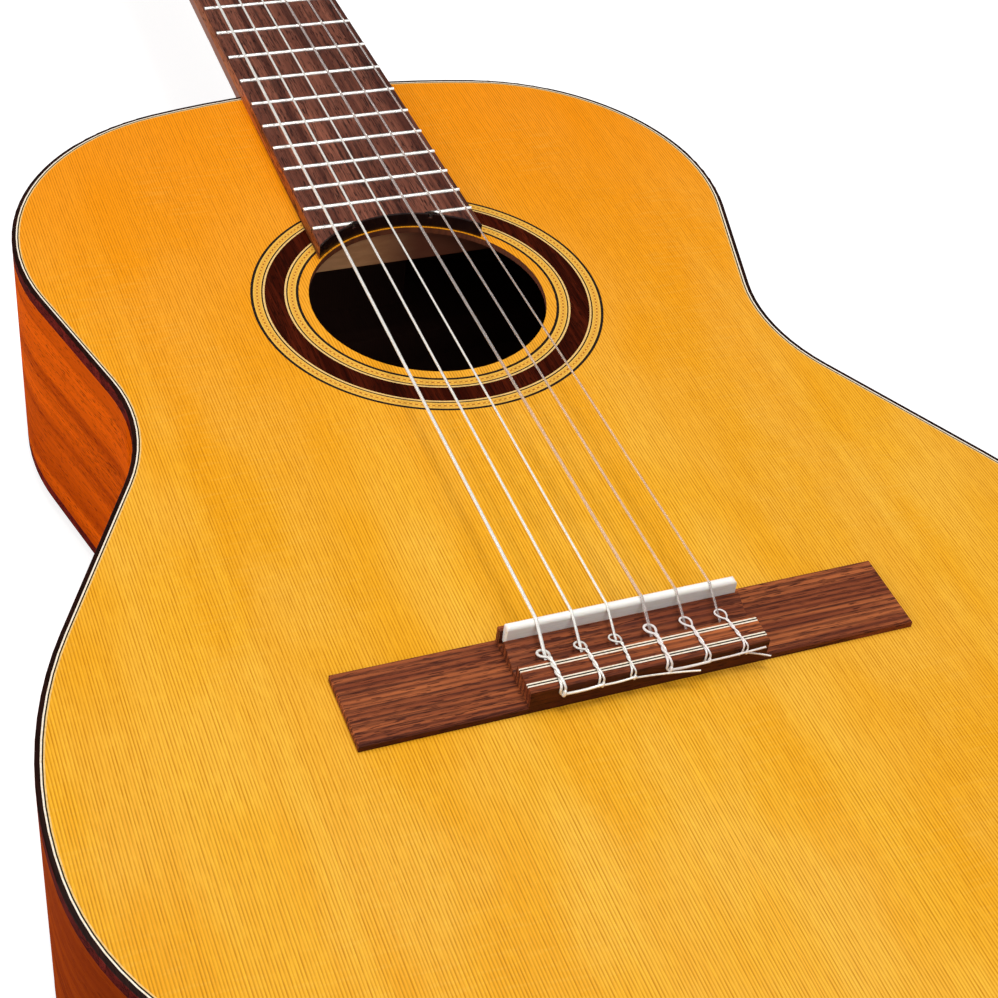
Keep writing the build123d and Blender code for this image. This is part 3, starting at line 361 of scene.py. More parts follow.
@effect("Lines", "Bands", "Fibre", Spacing=1.5 * MM, Waver=3.0 * MM)
def year_rings(graph: Graph, given: Ends, result: Ends) -> None:
    """Fine dark year lines along straight-grained softwood, with wide tone bands and fibres.

    Args:
        graph: The group's tree.
        given: The group's inputs by name.
        result: The group's outputs by name.
    """
    across = graph.split(given["Place"])[0]
    drift = graph.noise(given["Place"], (9.0, 3.0, 3.0), 1.0)
    across = graph.calc("MULTIPLY_ADD", drift, given["Waver"], across)
    uneven = graph.line_noise(across, 38.0, 2.0)
    swing = graph.times(uneven, graph.times(given["Spacing"], 2.2))
    turns = graph.calc("DIVIDE", graph.calc("ADD", across, swing), given["Spacing"])
    within = graph.calc("FRACT", turns)
    late = graph.span(within, 0.30, 0.72)
    edge = graph.span(within, 0.86, 1.0, 1.0, 0.0)
    number = graph.add("TexWhiteNoise", noise_dimensions="1D")
    graph.feed(number.inputs["W"], graph.calc("FLOOR", turns))
    weight = graph.calc("MULTIPLY_ADD", number.outputs["Value"], 0.3, 0.65)
    broken = graph.span(graph.noise(given["Place"], (900.0, 150.0, 300.0), 2.0), 0.30, 0.60, 0.55, 1.0)
    lines = graph.times(graph.times(late, edge), weight)
    graph.feed(result["Lines"], graph.times(lines, broken))
    graph.feed(result["Bands"], graph.span(graph.line_noise(across, 34.0, 2.0), 0.3, 0.7))
    graph.feed(result["Fibre"], graph.noise(given["Place"], (1500.0, 70.0, 500.0), 3.0))


@effect("Silk")
def ray_silk(graph: Graph, given: Ends, result: Ends) -> None:
    """Short pale flecks across the grain, where a quarter-sawn board cuts its rays.

    Args:
        graph: The group's tree.
        given: The group's inputs by name.
        result: The group's outputs by name.
    """
    flecks = graph.noise(given["Place"], (90.0, 650.0, 90.0), 2.0, 0.4)
    patches = graph.noise(given["Place"], (14.0, 9.0, 9.0), 1.0)
    silk = graph.times(graph.span(flecks, 0.5, 0.68), graph.span(patches, 0.42, 0.62))
    graph.feed(result["Silk"], silk)


@effect("Wide", "Fine", "Ink")
def streaks(graph: Graph, given: Ends, result: Ends) -> None:
    """Dark and light streaks of a dense hardwood, with its ink-dark lines.

    Args:
        graph: The group's tree.
        given: The group's inputs by name.
        result: The group's outputs by name.
    """
    wide = graph.noise(given["Place"], (160.0, 7.0, 60.0), 4.0, 1.1)
    fine = graph.noise(given["Place"], (1100.0, 24.0, 400.0), 3.0, 0.3)
    ink = graph.noise(given["Place"], (330.0, 6.0, 120.0), 2.0, 1.6)
    graph.feed(result["Wide"], graph.span(wide, 0.34, 0.68))
    graph.feed(result["Fine"], graph.span(fine, 0.3, 0.7))
    graph.feed(result["Ink"], graph.span(graph.calc("ABSOLUTE", graph.calc("SUBTRACT", ink, 0.5)),
                                         0.0, 0.035, 1.0, 0.0))


@effect("Pores", Crowding=0.16)
def open_pores(graph: Graph, given: Ends, result: Ends) -> None:
    """Short dark pores along the grain of an open-grained wood.

    Args:
        graph: The group's tree.
        given: The group's inputs by name.
        result: The group's outputs by name.
    """
    dashes = graph.noise(given["Place"], (2600.0, 190.0, 2600.0), 1.0)
    crowd = graph.noise(given["Place"], (70.0, 20.0, 70.0), 1.0)
    limit = graph.calc("SUBTRACT", 0.70, graph.times(crowd, given["Crowding"]))
    graph.feed(result["Pores"], graph.span(graph.calc("SUBTRACT", dashes, limit), 0.0, 0.08))


@effect("Smudge", "Rub")
def handling(graph: Graph, given: Ends, result: Ends) -> None:
    """Faint smudges and fine rubbing marks left by use.

    Args:
        graph: The group's tree.
        given: The group's inputs by name.
        result: The group's outputs by name.
    """
    smudge = graph.noise(given["Place"], (32.0, 32.0, 32.0), 4.0, 0.6)
    rub = graph.noise(given["Place"], (1800.0, 260.0, 900.0), 2.0)
    graph.feed(result["Smudge"], graph.span(smudge, 0.35, 0.7))
    graph.feed(result["Rub"], graph.span(rub, 0.55, 0.72))


@effect("Lines", "Tarnish")
def brushing(graph: Graph, given: Ends, result: Ends) -> None:
    """Fine brushed lines and tarnish on metal.

    Args:
        graph: The group's tree.
        given: The group's inputs by name.
        result: The group's outputs by name.
    """
    lines = graph.noise(given["Place"], (260.0, 4200.0, 4200.0), 2.0)
    stain = graph.noise(given["Place"], (210.0, 210.0, 210.0), 4.0, 0.8)
    graph.feed(result["Lines"], graph.span(lines, 0.3, 0.7))
    graph.feed(result["Tarnish"], graph.span(stain, 0.52, 0.74))


# Finishes


class Finish:
    """A material that is built once, whatever it is put on."""

    name: str = "finish"
    _made: dict[str, bpy.types.Material] = {}

    def material(self) -> bpy.types.Material:
        """Give this finish's material.

        Returns:
            The material.
        """
        if self.name not in Finish._made:
            material = bpy.data.materials.new(self.name)
            material.use_nodes = True
            tree = material.node_tree
            tree.nodes.clear()
            graph = Graph(tree)
            shader = graph.add("BsdfPrincipled")
            end = graph.add("OutputMaterial")
            tree.links.new(shader.outputs["BSDF"], end.inputs["Surface"])
            self.fill(graph, shader.inputs)
            Finish._made[self.name] = material
        return Finish._made[self.name]

    def fill(self, graph: Graph, shader: Sockets) -> None:
        """Join the finish's nodes to the shader.

        Args:
            graph: The material's tree.
            shader: The shader's inputs.
        """
        raise NotImplementedError


@dataclass(frozen=True)
class Lacquer:
    """A clear coat over wood."""

    weight: float = 1.0
    roughness: float = 0.06
    ior: float = 1.5
    wood_gloss: float = 0.1

    def apply(self, shader: Sockets) -> None:
        """Set the coat's own sockets and dull the wood beneath it.

        Args:
            shader: The shader's inputs.
        """
        shader["Specular IOR Level"].default_value = self.wood_gloss
        shader["Coat Weight"].default_value = self.weight
        shader["Coat Roughness"].default_value = self.roughness
        shader["Coat IOR"].default_value = self.ior


@dataclass(frozen=True)
class SpruceTop(Finish):
    """Quarter-sawn spruce under an amber lacquer, book-matched about the centre line."""

    name: str = "amber_spruce"
    early: Colour = (0.85, 0.380, 0.011)
    warm: Colour = (0.90, 0.455, 0.028)
    late: Colour = (0.43, 0.140, 0.001)
    # colour of the painted shade towards the neck, where the light falls off
    neck_tint: Colour = (0.95, 0.270, 0.001)
    pale: Colour = (0.98, 0.62, 0.12)
    ring_spacing: float = 1.02 * MM
    neck_fade: tuple[float, float] = (-0.16, 0.15)
    neck_weight: float = 0.85
    drift_weight: float = 0.22
    silk_weight: float = 0.08
    fibre_weight: float = 0.14
    line_weight: float = 0.8
    lacquer: Lacquer = Lacquer(weight=0.15, roughness=0.12, wood_gloss=0.02)

    def fill(self, graph: Graph, shader: Sockets) -> None:
        """Join the spruce's rings and silk, and a painted shade that deepens the colour towards the neck.

        Args:
            graph: The material's tree.
            shader: The shader's inputs.
        """
        place = graph.oriented(Direction.LENGTHWISE, mirrored=True)
        rings = graph.use(year_rings, Place=place, Spacing=self.ring_spacing)
        silk = graph.use(ray_silk, Place=place)
        wear = graph.use(handling, Place=graph.place())
        # painted shade: the top deepens and darkens towards the neck in place of the lamps' falloff
        neck = graph.times(graph.span(graph.split()["Y"], *self.neck_fade), self.neck_weight)
        drift = graph.noise(graph.place(), (26.0, 13.0, 10.0), 2.0)
        ground = graph.blend(rings["Bands"], self.early, self.warm)
        ground = graph.blend(graph.span(drift, 0.38, 0.64, 0.0, self.drift_weight), ground, self.pale)
        ground = graph.blend(neck, ground, self.neck_tint)
        ground = graph.blend(graph.times(silk["Silk"], self.silk_weight), ground, self.pale)
        fibre = graph.span(rings["Fibre"], 0.35, 0.65, 0.0, self.fibre_weight)
        ground = graph.blend(fibre, ground, self.late)
        lines = graph.times(rings["Lines"], self.line_weight)
        rough = graph.span(wear["Smudge"], 0.0, 1.0, 0.42, 0.52)
        graph.surface(shader, graph.blend(lines, ground, self.late), rough,
                      graph.bump(rings["Lines"], 0.02 * MM, 0.5))
        self.lacquer.apply(shader)


@dataclass(frozen=True)
class BareSoftwood(Finish):
    """Planed spruce or cedar with no lacquer, for what is inside the box."""

    name: str = "bare_spruce"
    early: Colour = (0.60, 0.36, 0.16)
    late: Colour = (0.36, 0.17, 0.06)
    direction: Direction = Direction.CROSSWISE
    ring_spacing: float = 1.2 * MM
    line_weight: float = 0.7
    fibre_weight: float = 0.3
    # colour of a painted shadow towards the treble side, used for the fingerboard's shadow on the harmonic
    # bar
    heart: Colour = (0.16, 0.030, 0.014)
    heart_weight: float = 0.0
    heart_edges: tuple[float, float] = (-12.0 * MM, 16.0 * MM)

    def fill(self, graph: Graph, shader: Sockets) -> None:
        """Join the bare wood's rings, a painted shadow that darkens it towards the treble side, and its dusty
        surface.

        Args:
            graph: The material's tree.
            shader: The shader's inputs.
        """
        place = graph.oriented(self.direction)
        rings = graph.use(year_rings, Place=place, Spacing=self.ring_spacing)
        wear = graph.use(handling, Place=graph.place())
        ground = graph.blend(graph.times(rings["Lines"], self.line_weight), self.early, self.late)
        fibre = graph.span(rings["Fibre"], 0.35, 0.65, 0.0, self.fibre_weight)
        ground = graph.blend(fibre, ground, self.late)
        # painted shadow: darker towards the treble side, where the fingerboard shades the harmonic bar
        heart = graph.span(graph.split()["X"], *self.heart_edges, 0.0, self.heart_weight)
        rough = graph.span(wear["Smudge"], 0.0, 1.0, 0.65, 0.8)
        graph.surface(shader, graph.blend(heart, ground, self.heart), rough,
                      graph.bump(rings["Fibre"], 0.06 * MM, 0.6))


@dataclass(frozen=True)
class Mahogany(Finish):
    """Open-pored mahogany with ribbon figure."""

    name: str = "rib_mahogany"
    light: Colour = (0.92, 0.138, 0.002)
    dark: Colour = (0.38, 0.040, 0.001)
    # colour of the pores, also the colour of the painted shade towards the tail
    pore: Colour = (0.16, 0.016, 0.001)
    direction: Direction = Direction.ROUND_THE_RIBS
    mirrored: bool = False
    base_roughness: float = 0.34
    shade_edges: tuple[float, float] = (-0.34, 0.04)
    tail_shade: float = 0.0
    lacquer: Optional[Lacquer] = Lacquer(weight=0.025, roughness=0.08, wood_gloss=0.0)

    def fill(self, graph: Graph, shader: Sockets) -> None:
        """Join the mahogany's ribbons, streaks and pores, and an optional painted shade that darkens it
        towards the tail.

        Args:
            graph: The material's tree.
            shader: The shader's inputs.
        """
        place = graph.oriented(self.direction, self.mirrored)
        figure = graph.use(streaks, Place=place)
        pores = graph.use(open_pores, Place=place, Crowding=0.2)
        wear = graph.use(handling, Place=graph.place())
        ribbon = graph.span(graph.noise(place, (62.0, 6.0, 10.0), 3.0, 0.6), 0.38, 0.62)
        tone = graph.calc("MULTIPLY_ADD", ribbon, 0.55, graph.times(figure["Wide"], 0.35))
        ground = graph.blend(tone, self.light, self.dark)
        ground = graph.blend(graph.times(figure["Fine"], 0.22), ground, self.dark)
        ground = graph.blend(graph.times(pores["Pores"], 0.75), ground, self.pore)
        # painted shade: the wood darkens towards the tail, where less light falls on the ribs
        painted_tail_shade_mask = graph.span(graph.split()["Y"], *self.shade_edges, self.tail_shade, 0.0)
        ground = graph.blend(painted_tail_shade_mask, ground, self.pore)
        rough = graph.span(wear["Smudge"], 0.0, 1.0, self.base_roughness, self.base_roughness + 0.12)
        height = graph.calc("SUBTRACT", 1.0, pores["Pores"])
        graph.surface(shader, ground, rough, graph.bump(height, 0.05 * MM, 0.5))
        if self.lacquer:
            self.lacquer.apply(shader)


@dataclass(frozen=True)
class Rosewood(Finish):
    """Dense streaked rosewood, oiled or lacquered."""

    name: str = "fingerboard_rosewood"
    light: Colour = (0.280, 0.092, 0.054)
    dark: Colour = (0.092, 0.024, 0.014)
    ink: Colour = (0.016, 0.005, 0.004)
    direction: Direction = Direction.LENGTHWISE
    base_roughness: float = 0.42
    gloss: float = 0.12
    pore_depth: float = 0.08 * MM
    ring_spacing: float = 2.3 * MM
    ring_depth: float = 0.35
    lacquer: Optional[Lacquer] = None

    def fill(self, graph: Graph, shader: Sockets) -> None:
        """Join the rosewood's streaks, ink lines, pores and polish.

        Args:
            graph: The material's tree.
            shader: The shader's inputs.
        """
        place = graph.oriented(self.direction)
        figure = graph.use(streaks, Place=place)
        pores = graph.use(open_pores, Place=place, Crowding=0.24)
        wear = graph.use(handling, Place=graph.place())
        ground = graph.blend(figure["Wide"], self.dark, self.light)
        ground = graph.blend(graph.times(figure["Fine"], 0.45), ground, self.dark)
        rings = graph.use(year_rings, Place=place, Spacing=self.ring_spacing)
        ground = graph.blend(graph.times(rings["Lines"], self.ring_depth), ground, self.ink)
        ground = graph.blend(graph.times(figure["Ink"], 0.75), ground, self.ink)
        ground = graph.blend(graph.times(pores["Pores"], 0.85), ground, self.ink)
        rough = graph.calc("MULTIPLY_ADD", pores["Pores"], 0.2, self.base_roughness)
        height = graph.calc("SUBTRACT", graph.times(figure["Fine"], 0.3), pores["Pores"])
        rough = graph.calc("MULTIPLY_ADD", wear["Smudge"], 0.14, rough)
        graph.surface(shader, ground, rough, graph.bump(height, self.pore_depth, 0.6))
        shader["Specular IOR Level"].default_value = self.gloss
        if self.lacquer:
            self.lacquer.apply(shader)


@dataclass(frozen=True)
class Veneer(Finish):
    """A thin dyed or plain veneer line under the lacquer."""

    name: str = "black_veneer"
    body: Colour = (0.012, 0.007, 0.005)
    vein: Colour = (0.03, 0.016, 0.01)
    lacquer: Lacquer = Lacquer(weight=0.15, roughness=0.12, wood_gloss=0.03)

    def fill(self, graph: Graph, shader: Sockets) -> None:
        """Join the veneer's fine veins.

        Args:
            graph: The material's tree.
            shader: The shader's inputs.
        """
        place = graph.place()
        vein = graph.span(graph.noise(place, (900.0, 900.0, 900.0), 3.0), 0.4, 0.7)
        wear = graph.use(handling, Place=place)
        rough = graph.span(wear["Smudge"], 0.0, 1.0, 0.38, 0.5)
        graph.surface(shader, graph.blend(vein, self.body, self.vein), rough,
                      graph.bump(vein, 0.01 * MM, 0.3))
        self.lacquer.apply(shader)


@dataclass(frozen=True)
class RosetteMosaic(Finish):
    """A ring of tiny pale and brown end-grain tiles, set out by angle and radius."""

    name: str = "rosette_mosaic"
    inner_radius: float = 48.9 * MM
    row_width: float = 0.6 * MM
    tiles_round: int = 316
    pale: Colour = (0.84, 0.48, 0.080)
    honey: Colour = (0.78, 0.37, 0.038)
    brown: Colour = (0.30, 0.052, 0.005)
    joint: Colour = (0.45, 0.21, 0.03)
    lacquer: Lacquer = Lacquer(weight=0.15, roughness=0.12, wood_gloss=0.03)

    def fill(self, graph: Graph, shader: Sockets) -> None:
        """Join the tiles' rows and their pattern of dots.

        Args:
            graph: The material's tree.
            shader: The shader's inputs.
        """
        split = graph.split()
        x, y = split["X"], split["Y"]
        radius = graph.calc("SQRT", graph.calc("ADD", graph.times(x, x), graph.times(y, y)))
        row = graph.calc("DIVIDE", graph.calc("SUBTRACT", radius, self.inner_radius), self.row_width)
        angle = graph.calc("DIVIDE", graph.calc("ARCTAN2", y, x), 2.0 * math.pi)
        column = graph.times(angle, float(self.tiles_round))
        row_number = graph.calc("FLOOR", row)
        column_number = graph.calc("FLOOR", column)
        odd_column = graph.calc("FLOORED_MODULO", column_number, 2.0)
        from_middle = graph.calc("ABSOLUTE", graph.calc("SUBTRACT", row_number, 2.0))
        beside = graph.calc("COMPARE", from_middle, 1.0, 0.4)
        middle = graph.calc("COMPARE", from_middle, 0.0, 0.4)
        even_column = graph.calc("SUBTRACT", 1.0, odd_column)
        brown = graph.times(middle, odd_column)
        honey = graph.times(beside, graph.calc("MULTIPLY_ADD", even_column, 0.5, 0.5))
        seed = graph.add("TexWhiteNoise", noise_dimensions="2D")
        pair = graph.add("CombineXYZ")
        graph.feed(pair.inputs[0], row_number)
        graph.feed(pair.inputs[1], column_number)
        graph.feed(seed.inputs["Vector"], pair.outputs[0])
        ground = graph.blend(honey, self.pale, self.honey)
        ground = graph.blend(graph.times(brown, 0.9), ground, self.brown)
        ground = graph.blend(graph.times(seed.outputs["Value"], 0.3), ground, self.honey)
        near_joint = graph.calc("PINGPONG", row, 0.5)
        side_joint = graph.calc("PINGPONG", column, 0.5)
        joint = graph.span(graph.calc("MINIMUM", near_joint, side_joint), 0.03, 0.1, 0.55, 0.0)
        graph.surface(shader, graph.blend(joint, ground, self.joint),
                      graph.span(seed.outputs["Value"], 0.0, 1.0, 0.38, 0.5))
        self.lacquer.apply(shader)


@dataclass(frozen=True)
class Bone(Finish):
    """Polished bone with faint grain and tiny pores."""

    name: str = "polished_bone"
    body: Colour = (0.97, 0.94, 0.89)
    shade: Colour = (0.84, 0.76, 0.64)

    def fill(self, graph: Graph, shader: Sockets) -> None:
        """Join the bone's grain and pores.

        Args:
            graph: The material's tree.
            shader: The shader's inputs.
        """
        place = graph.oriented(Direction.CROSSWISE)
        grain = graph.noise(place, (900.0, 60.0, 900.0), 3.0, 0.4)
        pores = graph.use(open_pores, Place=place, Crowding=0.1)
        ground = graph.blend(graph.span(grain, 0.45, 0.75, 0.0, 0.4), self.body, self.shade)
        colour = graph.blend(graph.times(pores["Pores"], 0.4), ground, self.shade)
        graph.surface(shader, colour, graph.span(grain, 0.3, 0.7, 0.24, 0.38),
                      graph.bump(grain, 0.02 * MM, 0.4))
        shader["Subsurface Weight"].default_value = 0.15
        shader["Subsurface Radius"].default_value = (1.2 * MM, 0.8 * MM, 0.5 * MM)
        shader["Subsurface Scale"].default_value = 1.0


@dataclass(frozen=True)
class Hardware(Finish):
    """Polished metal with brushing and a little tarnish."""

    name: str = "nickel_silver_wire"
    body: Colour = (0.80, 0.77, 0.70)
    tarnish: Colour = (0.50, 0.45, 0.36)
    base_roughness: float = 0.22

    def fill(self, graph: Graph, shader: Sockets) -> None:
        """Join the metal's brushing and tarnish.

        Args:
            graph: The material's tree.
            shader: The shader's inputs.
        """
        marks = graph.use(brushing, Place=graph.place())
        stain = graph.times(marks["Tarnish"], 0.5)
        rough = graph.span(marks["Lines"], 0.0, 1.0, self.base_roughness, self.base_roughness + 0.08)
        rough = graph.calc("MULTIPLY_ADD", marks["Tarnish"], 0.2, rough)
        graph.surface(shader, graph.blend(stain, self.body, self.tarnish), rough,
                      graph.bump(marks["Lines"], 0.008 * MM, 0.4))
        shader["Metallic"].default_value = 1.0


@dataclass(frozen=True)
class WoundWire(Finish):
    """Silver-plated wire wound round a bass string."""

    name: str = "silver_winding"
    crest: Colour = (0.97, 0.95, 0.90)
    # colour of the painted shade in the grooves, also the tarnish colour
    groove: Colour = (0.62, 0.58, 0.50)
    winding: float = 0.16 * MM

    def fill(self, graph: Graph, shader: Sockets) -> None:
        """Join the winding's crests and grooves along the string, with painted shade in the grooves.

        Args:
            graph: The material's tree.
            shader: The shader's inputs.
        """
        turns = graph.calc("DIVIDE", graph.split()["Y"], self.winding)
        crest = graph.times(graph.calc("PINGPONG", turns, 0.5), 2.0)
        marks = graph.use(brushing, Place=graph.place())
        # painted shade: the grooves between turns are darker than the crests
        ground = graph.blend(graph.span(crest, 0.0, 0.5), self.groove, self.crest)
        colour = graph.blend(graph.times(marks["Tarnish"], 0.25), ground, self.groove)
        rough = graph.span(marks["Tarnish"], 0.0, 1.0, 0.3, 0.45)
        graph.surface(shader, colour, rough, graph.bump(crest, 0.03 * MM, 0.5))
        shader["Metallic"].default_value = 0.3


@dataclass(frozen=True)
class ClearNylon(Finish):
    """Clear nylon line."""

    name: str = "clear_nylon"
    body: Colour = (1.00, 0.93, 0.89)
    cloud: Colour = (0.95, 0.87, 0.83)
    clearness: float = 0.78

    def fill(self, graph: Graph, shader: Sockets) -> None:
        """Join the nylon's faint clouding.

        Args:
            graph: The material's tree.
            shader: The shader's inputs.
        """
        cloud = graph.span(graph.noise(graph.place(), (500.0, 120.0, 500.0), 2.0), 0.35, 0.7)
        rough = graph.span(cloud, 0.0, 1.0, 0.10, 0.22)
        graph.surface(shader, graph.blend(cloud, self.body, self.cloud), rough,
                      graph.bump(cloud, 0.01 * MM, 0.2))
        shader["Transmission Weight"].default_value = self.clearness
        shader["IOR"].default_value = 1.53


@dataclass(frozen=True)
class Plastic(Finish):
    """Moulded plastic: pearl-clouded on the buttons, plain white on the rollers."""

    name: str = "pearl_plastic"
    body: Colour = (0.80, 0.74, 0.60)
    cloud: Colour = (0.93, 0.90, 0.82)
    cloud_scale: float = 220.0
    base_roughness: float = 0.16

    def fill(self, graph: Graph, shader: Sockets) -> None:
        """Join the plastic's clouding and handling marks.

        Args:
            graph: The material's tree.
            shader: The shader's inputs.
        """
        scale = self.cloud_scale
        cloud = graph.span(graph.noise(graph.place(), (scale, scale * 0.4, scale), 4.0, 1.8), 0.35, 0.65)
        wear = graph.use(handling, Place=graph.place())
        rough = graph.span(wear["Smudge"], 0.0, 1.0, self.base_roughness, self.base_roughness + 0.14)
        graph.surface(shader, graph.blend(cloud, self.body, self.cloud), rough,
                      graph.bump(wear["Rub"], 0.01 * MM, 0.3))
        shader["Coat Weight"].default_value = 0.5
        shader["Coat Roughness"].default_value = 0.05


AMBER_SPRUCE = SpruceTop()
BARE_SPRUCE = BareSoftwood()
# the harmonic bar carries the fingerboard's shadow painted on its treble side
BAR_SPRUCE = BareSoftwood(name="bar_spruce", early=(0.98, 0.50, 0.23), late=(0.55, 0.18, 0.06),
                          heart_weight=0.9)
HOLE_EDGE = BareSoftwood(name="hole_edge", early=(0.20, 0.048, 0.013), late=(0.09, 0.018, 0.006))
# near-black bare wood for the inside of the box: painted shade, since the inside lies in shade
INTERIOR_SHADE = BareSoftwood(name="dim_interior", early=(0.060, 0.020, 0.010), late=(0.035, 0.011, 0.006),
                            direction=Direction.LENGTHWISE)
# the ribs carry a painted shade that darkens them towards the tail
RIB_MAHOGANY = Mahogany(tail_shade=0.9)
BACK_MAHOGANY = Mahogany(name="back_mahogany", direction=Direction.LENGTHWISE, mirrored=True,
                         light=(0.56, 0.105, 0.010), dark=(0.27, 0.036, 0.003),
                         lacquer=Lacquer(weight=0.5, roughness=0.07))
NECK_MAHOGANY = Mahogany(name="neck_mahogany", direction=Direction.LENGTHWISE, light=(0.46, 0.120, 0.022),
                         dark=(0.26, 0.055, 0.010), lacquer=Lacquer(weight=0.45, roughness=0.28))
FINGERBOARD_ROSEWOOD = Rosewood()
BRIDGE_ROSEWOOD = Rosewood(name="bridge_rosewood", light=(0.46, 0.125, 0.036), dark=(0.19, 0.040, 0.013),
                           ink=(0.050, 0.010, 0.005), direction=Direction.CROSSWISE, base_roughness=0.5,
                           ring_spacing=2.1 * MM, ring_depth=0.95)
# a darker copy of the bridge's rosewood for its walls facing the tail: painted shade
BRIDGE_WALL_SHADE = Rosewood(name="bridge_walls", light=(0.24, 0.058, 0.018), dark=(0.10, 0.019, 0.007),
                        ink=(0.030, 0.006, 0.003), direction=Direction.CROSSWISE, base_roughness=0.5,
                        ring_spacing=1.6 * MM, ring_depth=0.9)
# an orange copy of the rosewood for the fingerboard's long edges: painted reflection of the soundboard
FINGERBOARD_SIDE_REFLECTION = Rosewood(name="fingerboard_sides", light=(0.62, 0.170, 0.035), dark=(0.36, 0.080, 0.016))
# a near-black copy of the rosewood for the fingerboard's end wall over the soundhole: painted shade
FINGERBOARD_END_SHADE = Rosewood(name="fingerboard_end", light=(0.030, 0.010, 0.007), dark=(0.012, 0.004, 0.003),
                           lacquer=Lacquer(weight=0.7, roughness=0.1))
BINDING_ROSEWOOD = Rosewood(name="binding_rosewood", light=(0.230, 0.019, 0.012), dark=(0.110, 0.009, 0.006),
                            ink=(0.018, 0.002, 0.001),
                            lacquer=Lacquer(weight=0.05, roughness=0.1, wood_gloss=0.0))
# a darker copy of the binding's rosewood for its upward faces: painted shade
BINDING_TOP_SHADE = Rosewood(name="binding_edge", light=(0.030, 0.007, 0.004), dark=(0.012, 0.003, 0.002),
                        ink=(0.006, 0.002, 0.001),
                        lacquer=Lacquer(weight=0.1, roughness=0.09, wood_gloss=0.02))
ROSETTE_ROSEWOOD = Rosewood(name="rosette_rosewood", light=(0.078, 0.010, 0.003), dark=(0.028, 0.003, 0.001),
                            ink=(0.012, 0.002, 0.001),
                            lacquer=Lacquer(weight=0.05, roughness=0.12, wood_gloss=0.0))
VENEER_ROSEWOOD = Rosewood(name="head_rosewood", light=(0.12, 0.035, 0.018), dark=(0.04, 0.012, 0.008),
                           lacquer=Lacquer())
BLACK_VENEER = Veneer()
CREAM_VENEER = Veneer(name="cream_veneer", body=(0.82, 0.54, 0.20), vein=(0.70, 0.42, 0.13))
WHITE_VENEER = Veneer(name="white_veneer", body=(0.90, 0.80, 0.66), vein=(0.78, 0.64, 0.46))
INNER_MOSAIC = RosetteMosaic()
OUTER_MOSAIC = RosetteMosaic(name="outer_mosaic", inner_radius=61.5 * MM, tiles_round=396)
POLISHED_BONE = Bone()
FRET_WIRE = Hardware(body=(0.92, 0.90, 0.86), tarnish=(0.72, 0.68, 0.60), base_roughness=0.26)
BRASS_PLATE = Hardware(name="lacquered_brass", body=(0.86, 0.62, 0.27),
                       tarnish=(0.45, 0.28, 0.10), base_roughness=0.2)
CUT_BRASS = Hardware(name="cut_brass", body=(0.80, 0.58, 0.26), tarnish=(0.40, 0.25, 0.10),
                     base_roughness=0.3)
TURNED_STEEL = Hardware(name="turned_steel", body=(0.62, 0.62, 0.62),
                        tarnish=(0.36, 0.34, 0.32), base_roughness=0.28)
SILVER_WINDING = WoundWire()
CLEAR_NYLON = ClearNylon()
TIED_NYLON = ClearNylon(name="tied_nylon", clearness=0.2)
PEARL_PLASTIC = Plastic()
WHITE_PLASTIC = Plastic(name="white_plastic", body=(0.84, 0.82, 0.76), cloud=(0.88, 0.86, 0.82),
                        cloud_scale=60.0, base_roughness=0.24)


def dress(node: bpy.types.Object, *finishes: Finish) -> None:
    """Give a frame part its finishes.

    Args:
        node: The part.
        finishes: One or more finishes, in slot order.
    """
    node.data.materials.clear()
    for finish in finishes:
        node.data.materials.append(finish.material())


def dress_by(node: bpy.types.Object, finishes: list[Finish],
             choose: Callable[[Face], int]) -> None:
    """Give a frame part several finishes, one for each face.

    Args:
        node: The part.
        finishes: The finishes in slot order.
        choose: Gives a face's slot number.
    """
    dress(node, *finishes)
    for face in node.data.polygons:
        face.material_index = choose(face)


# The guitar's sub-assemblies


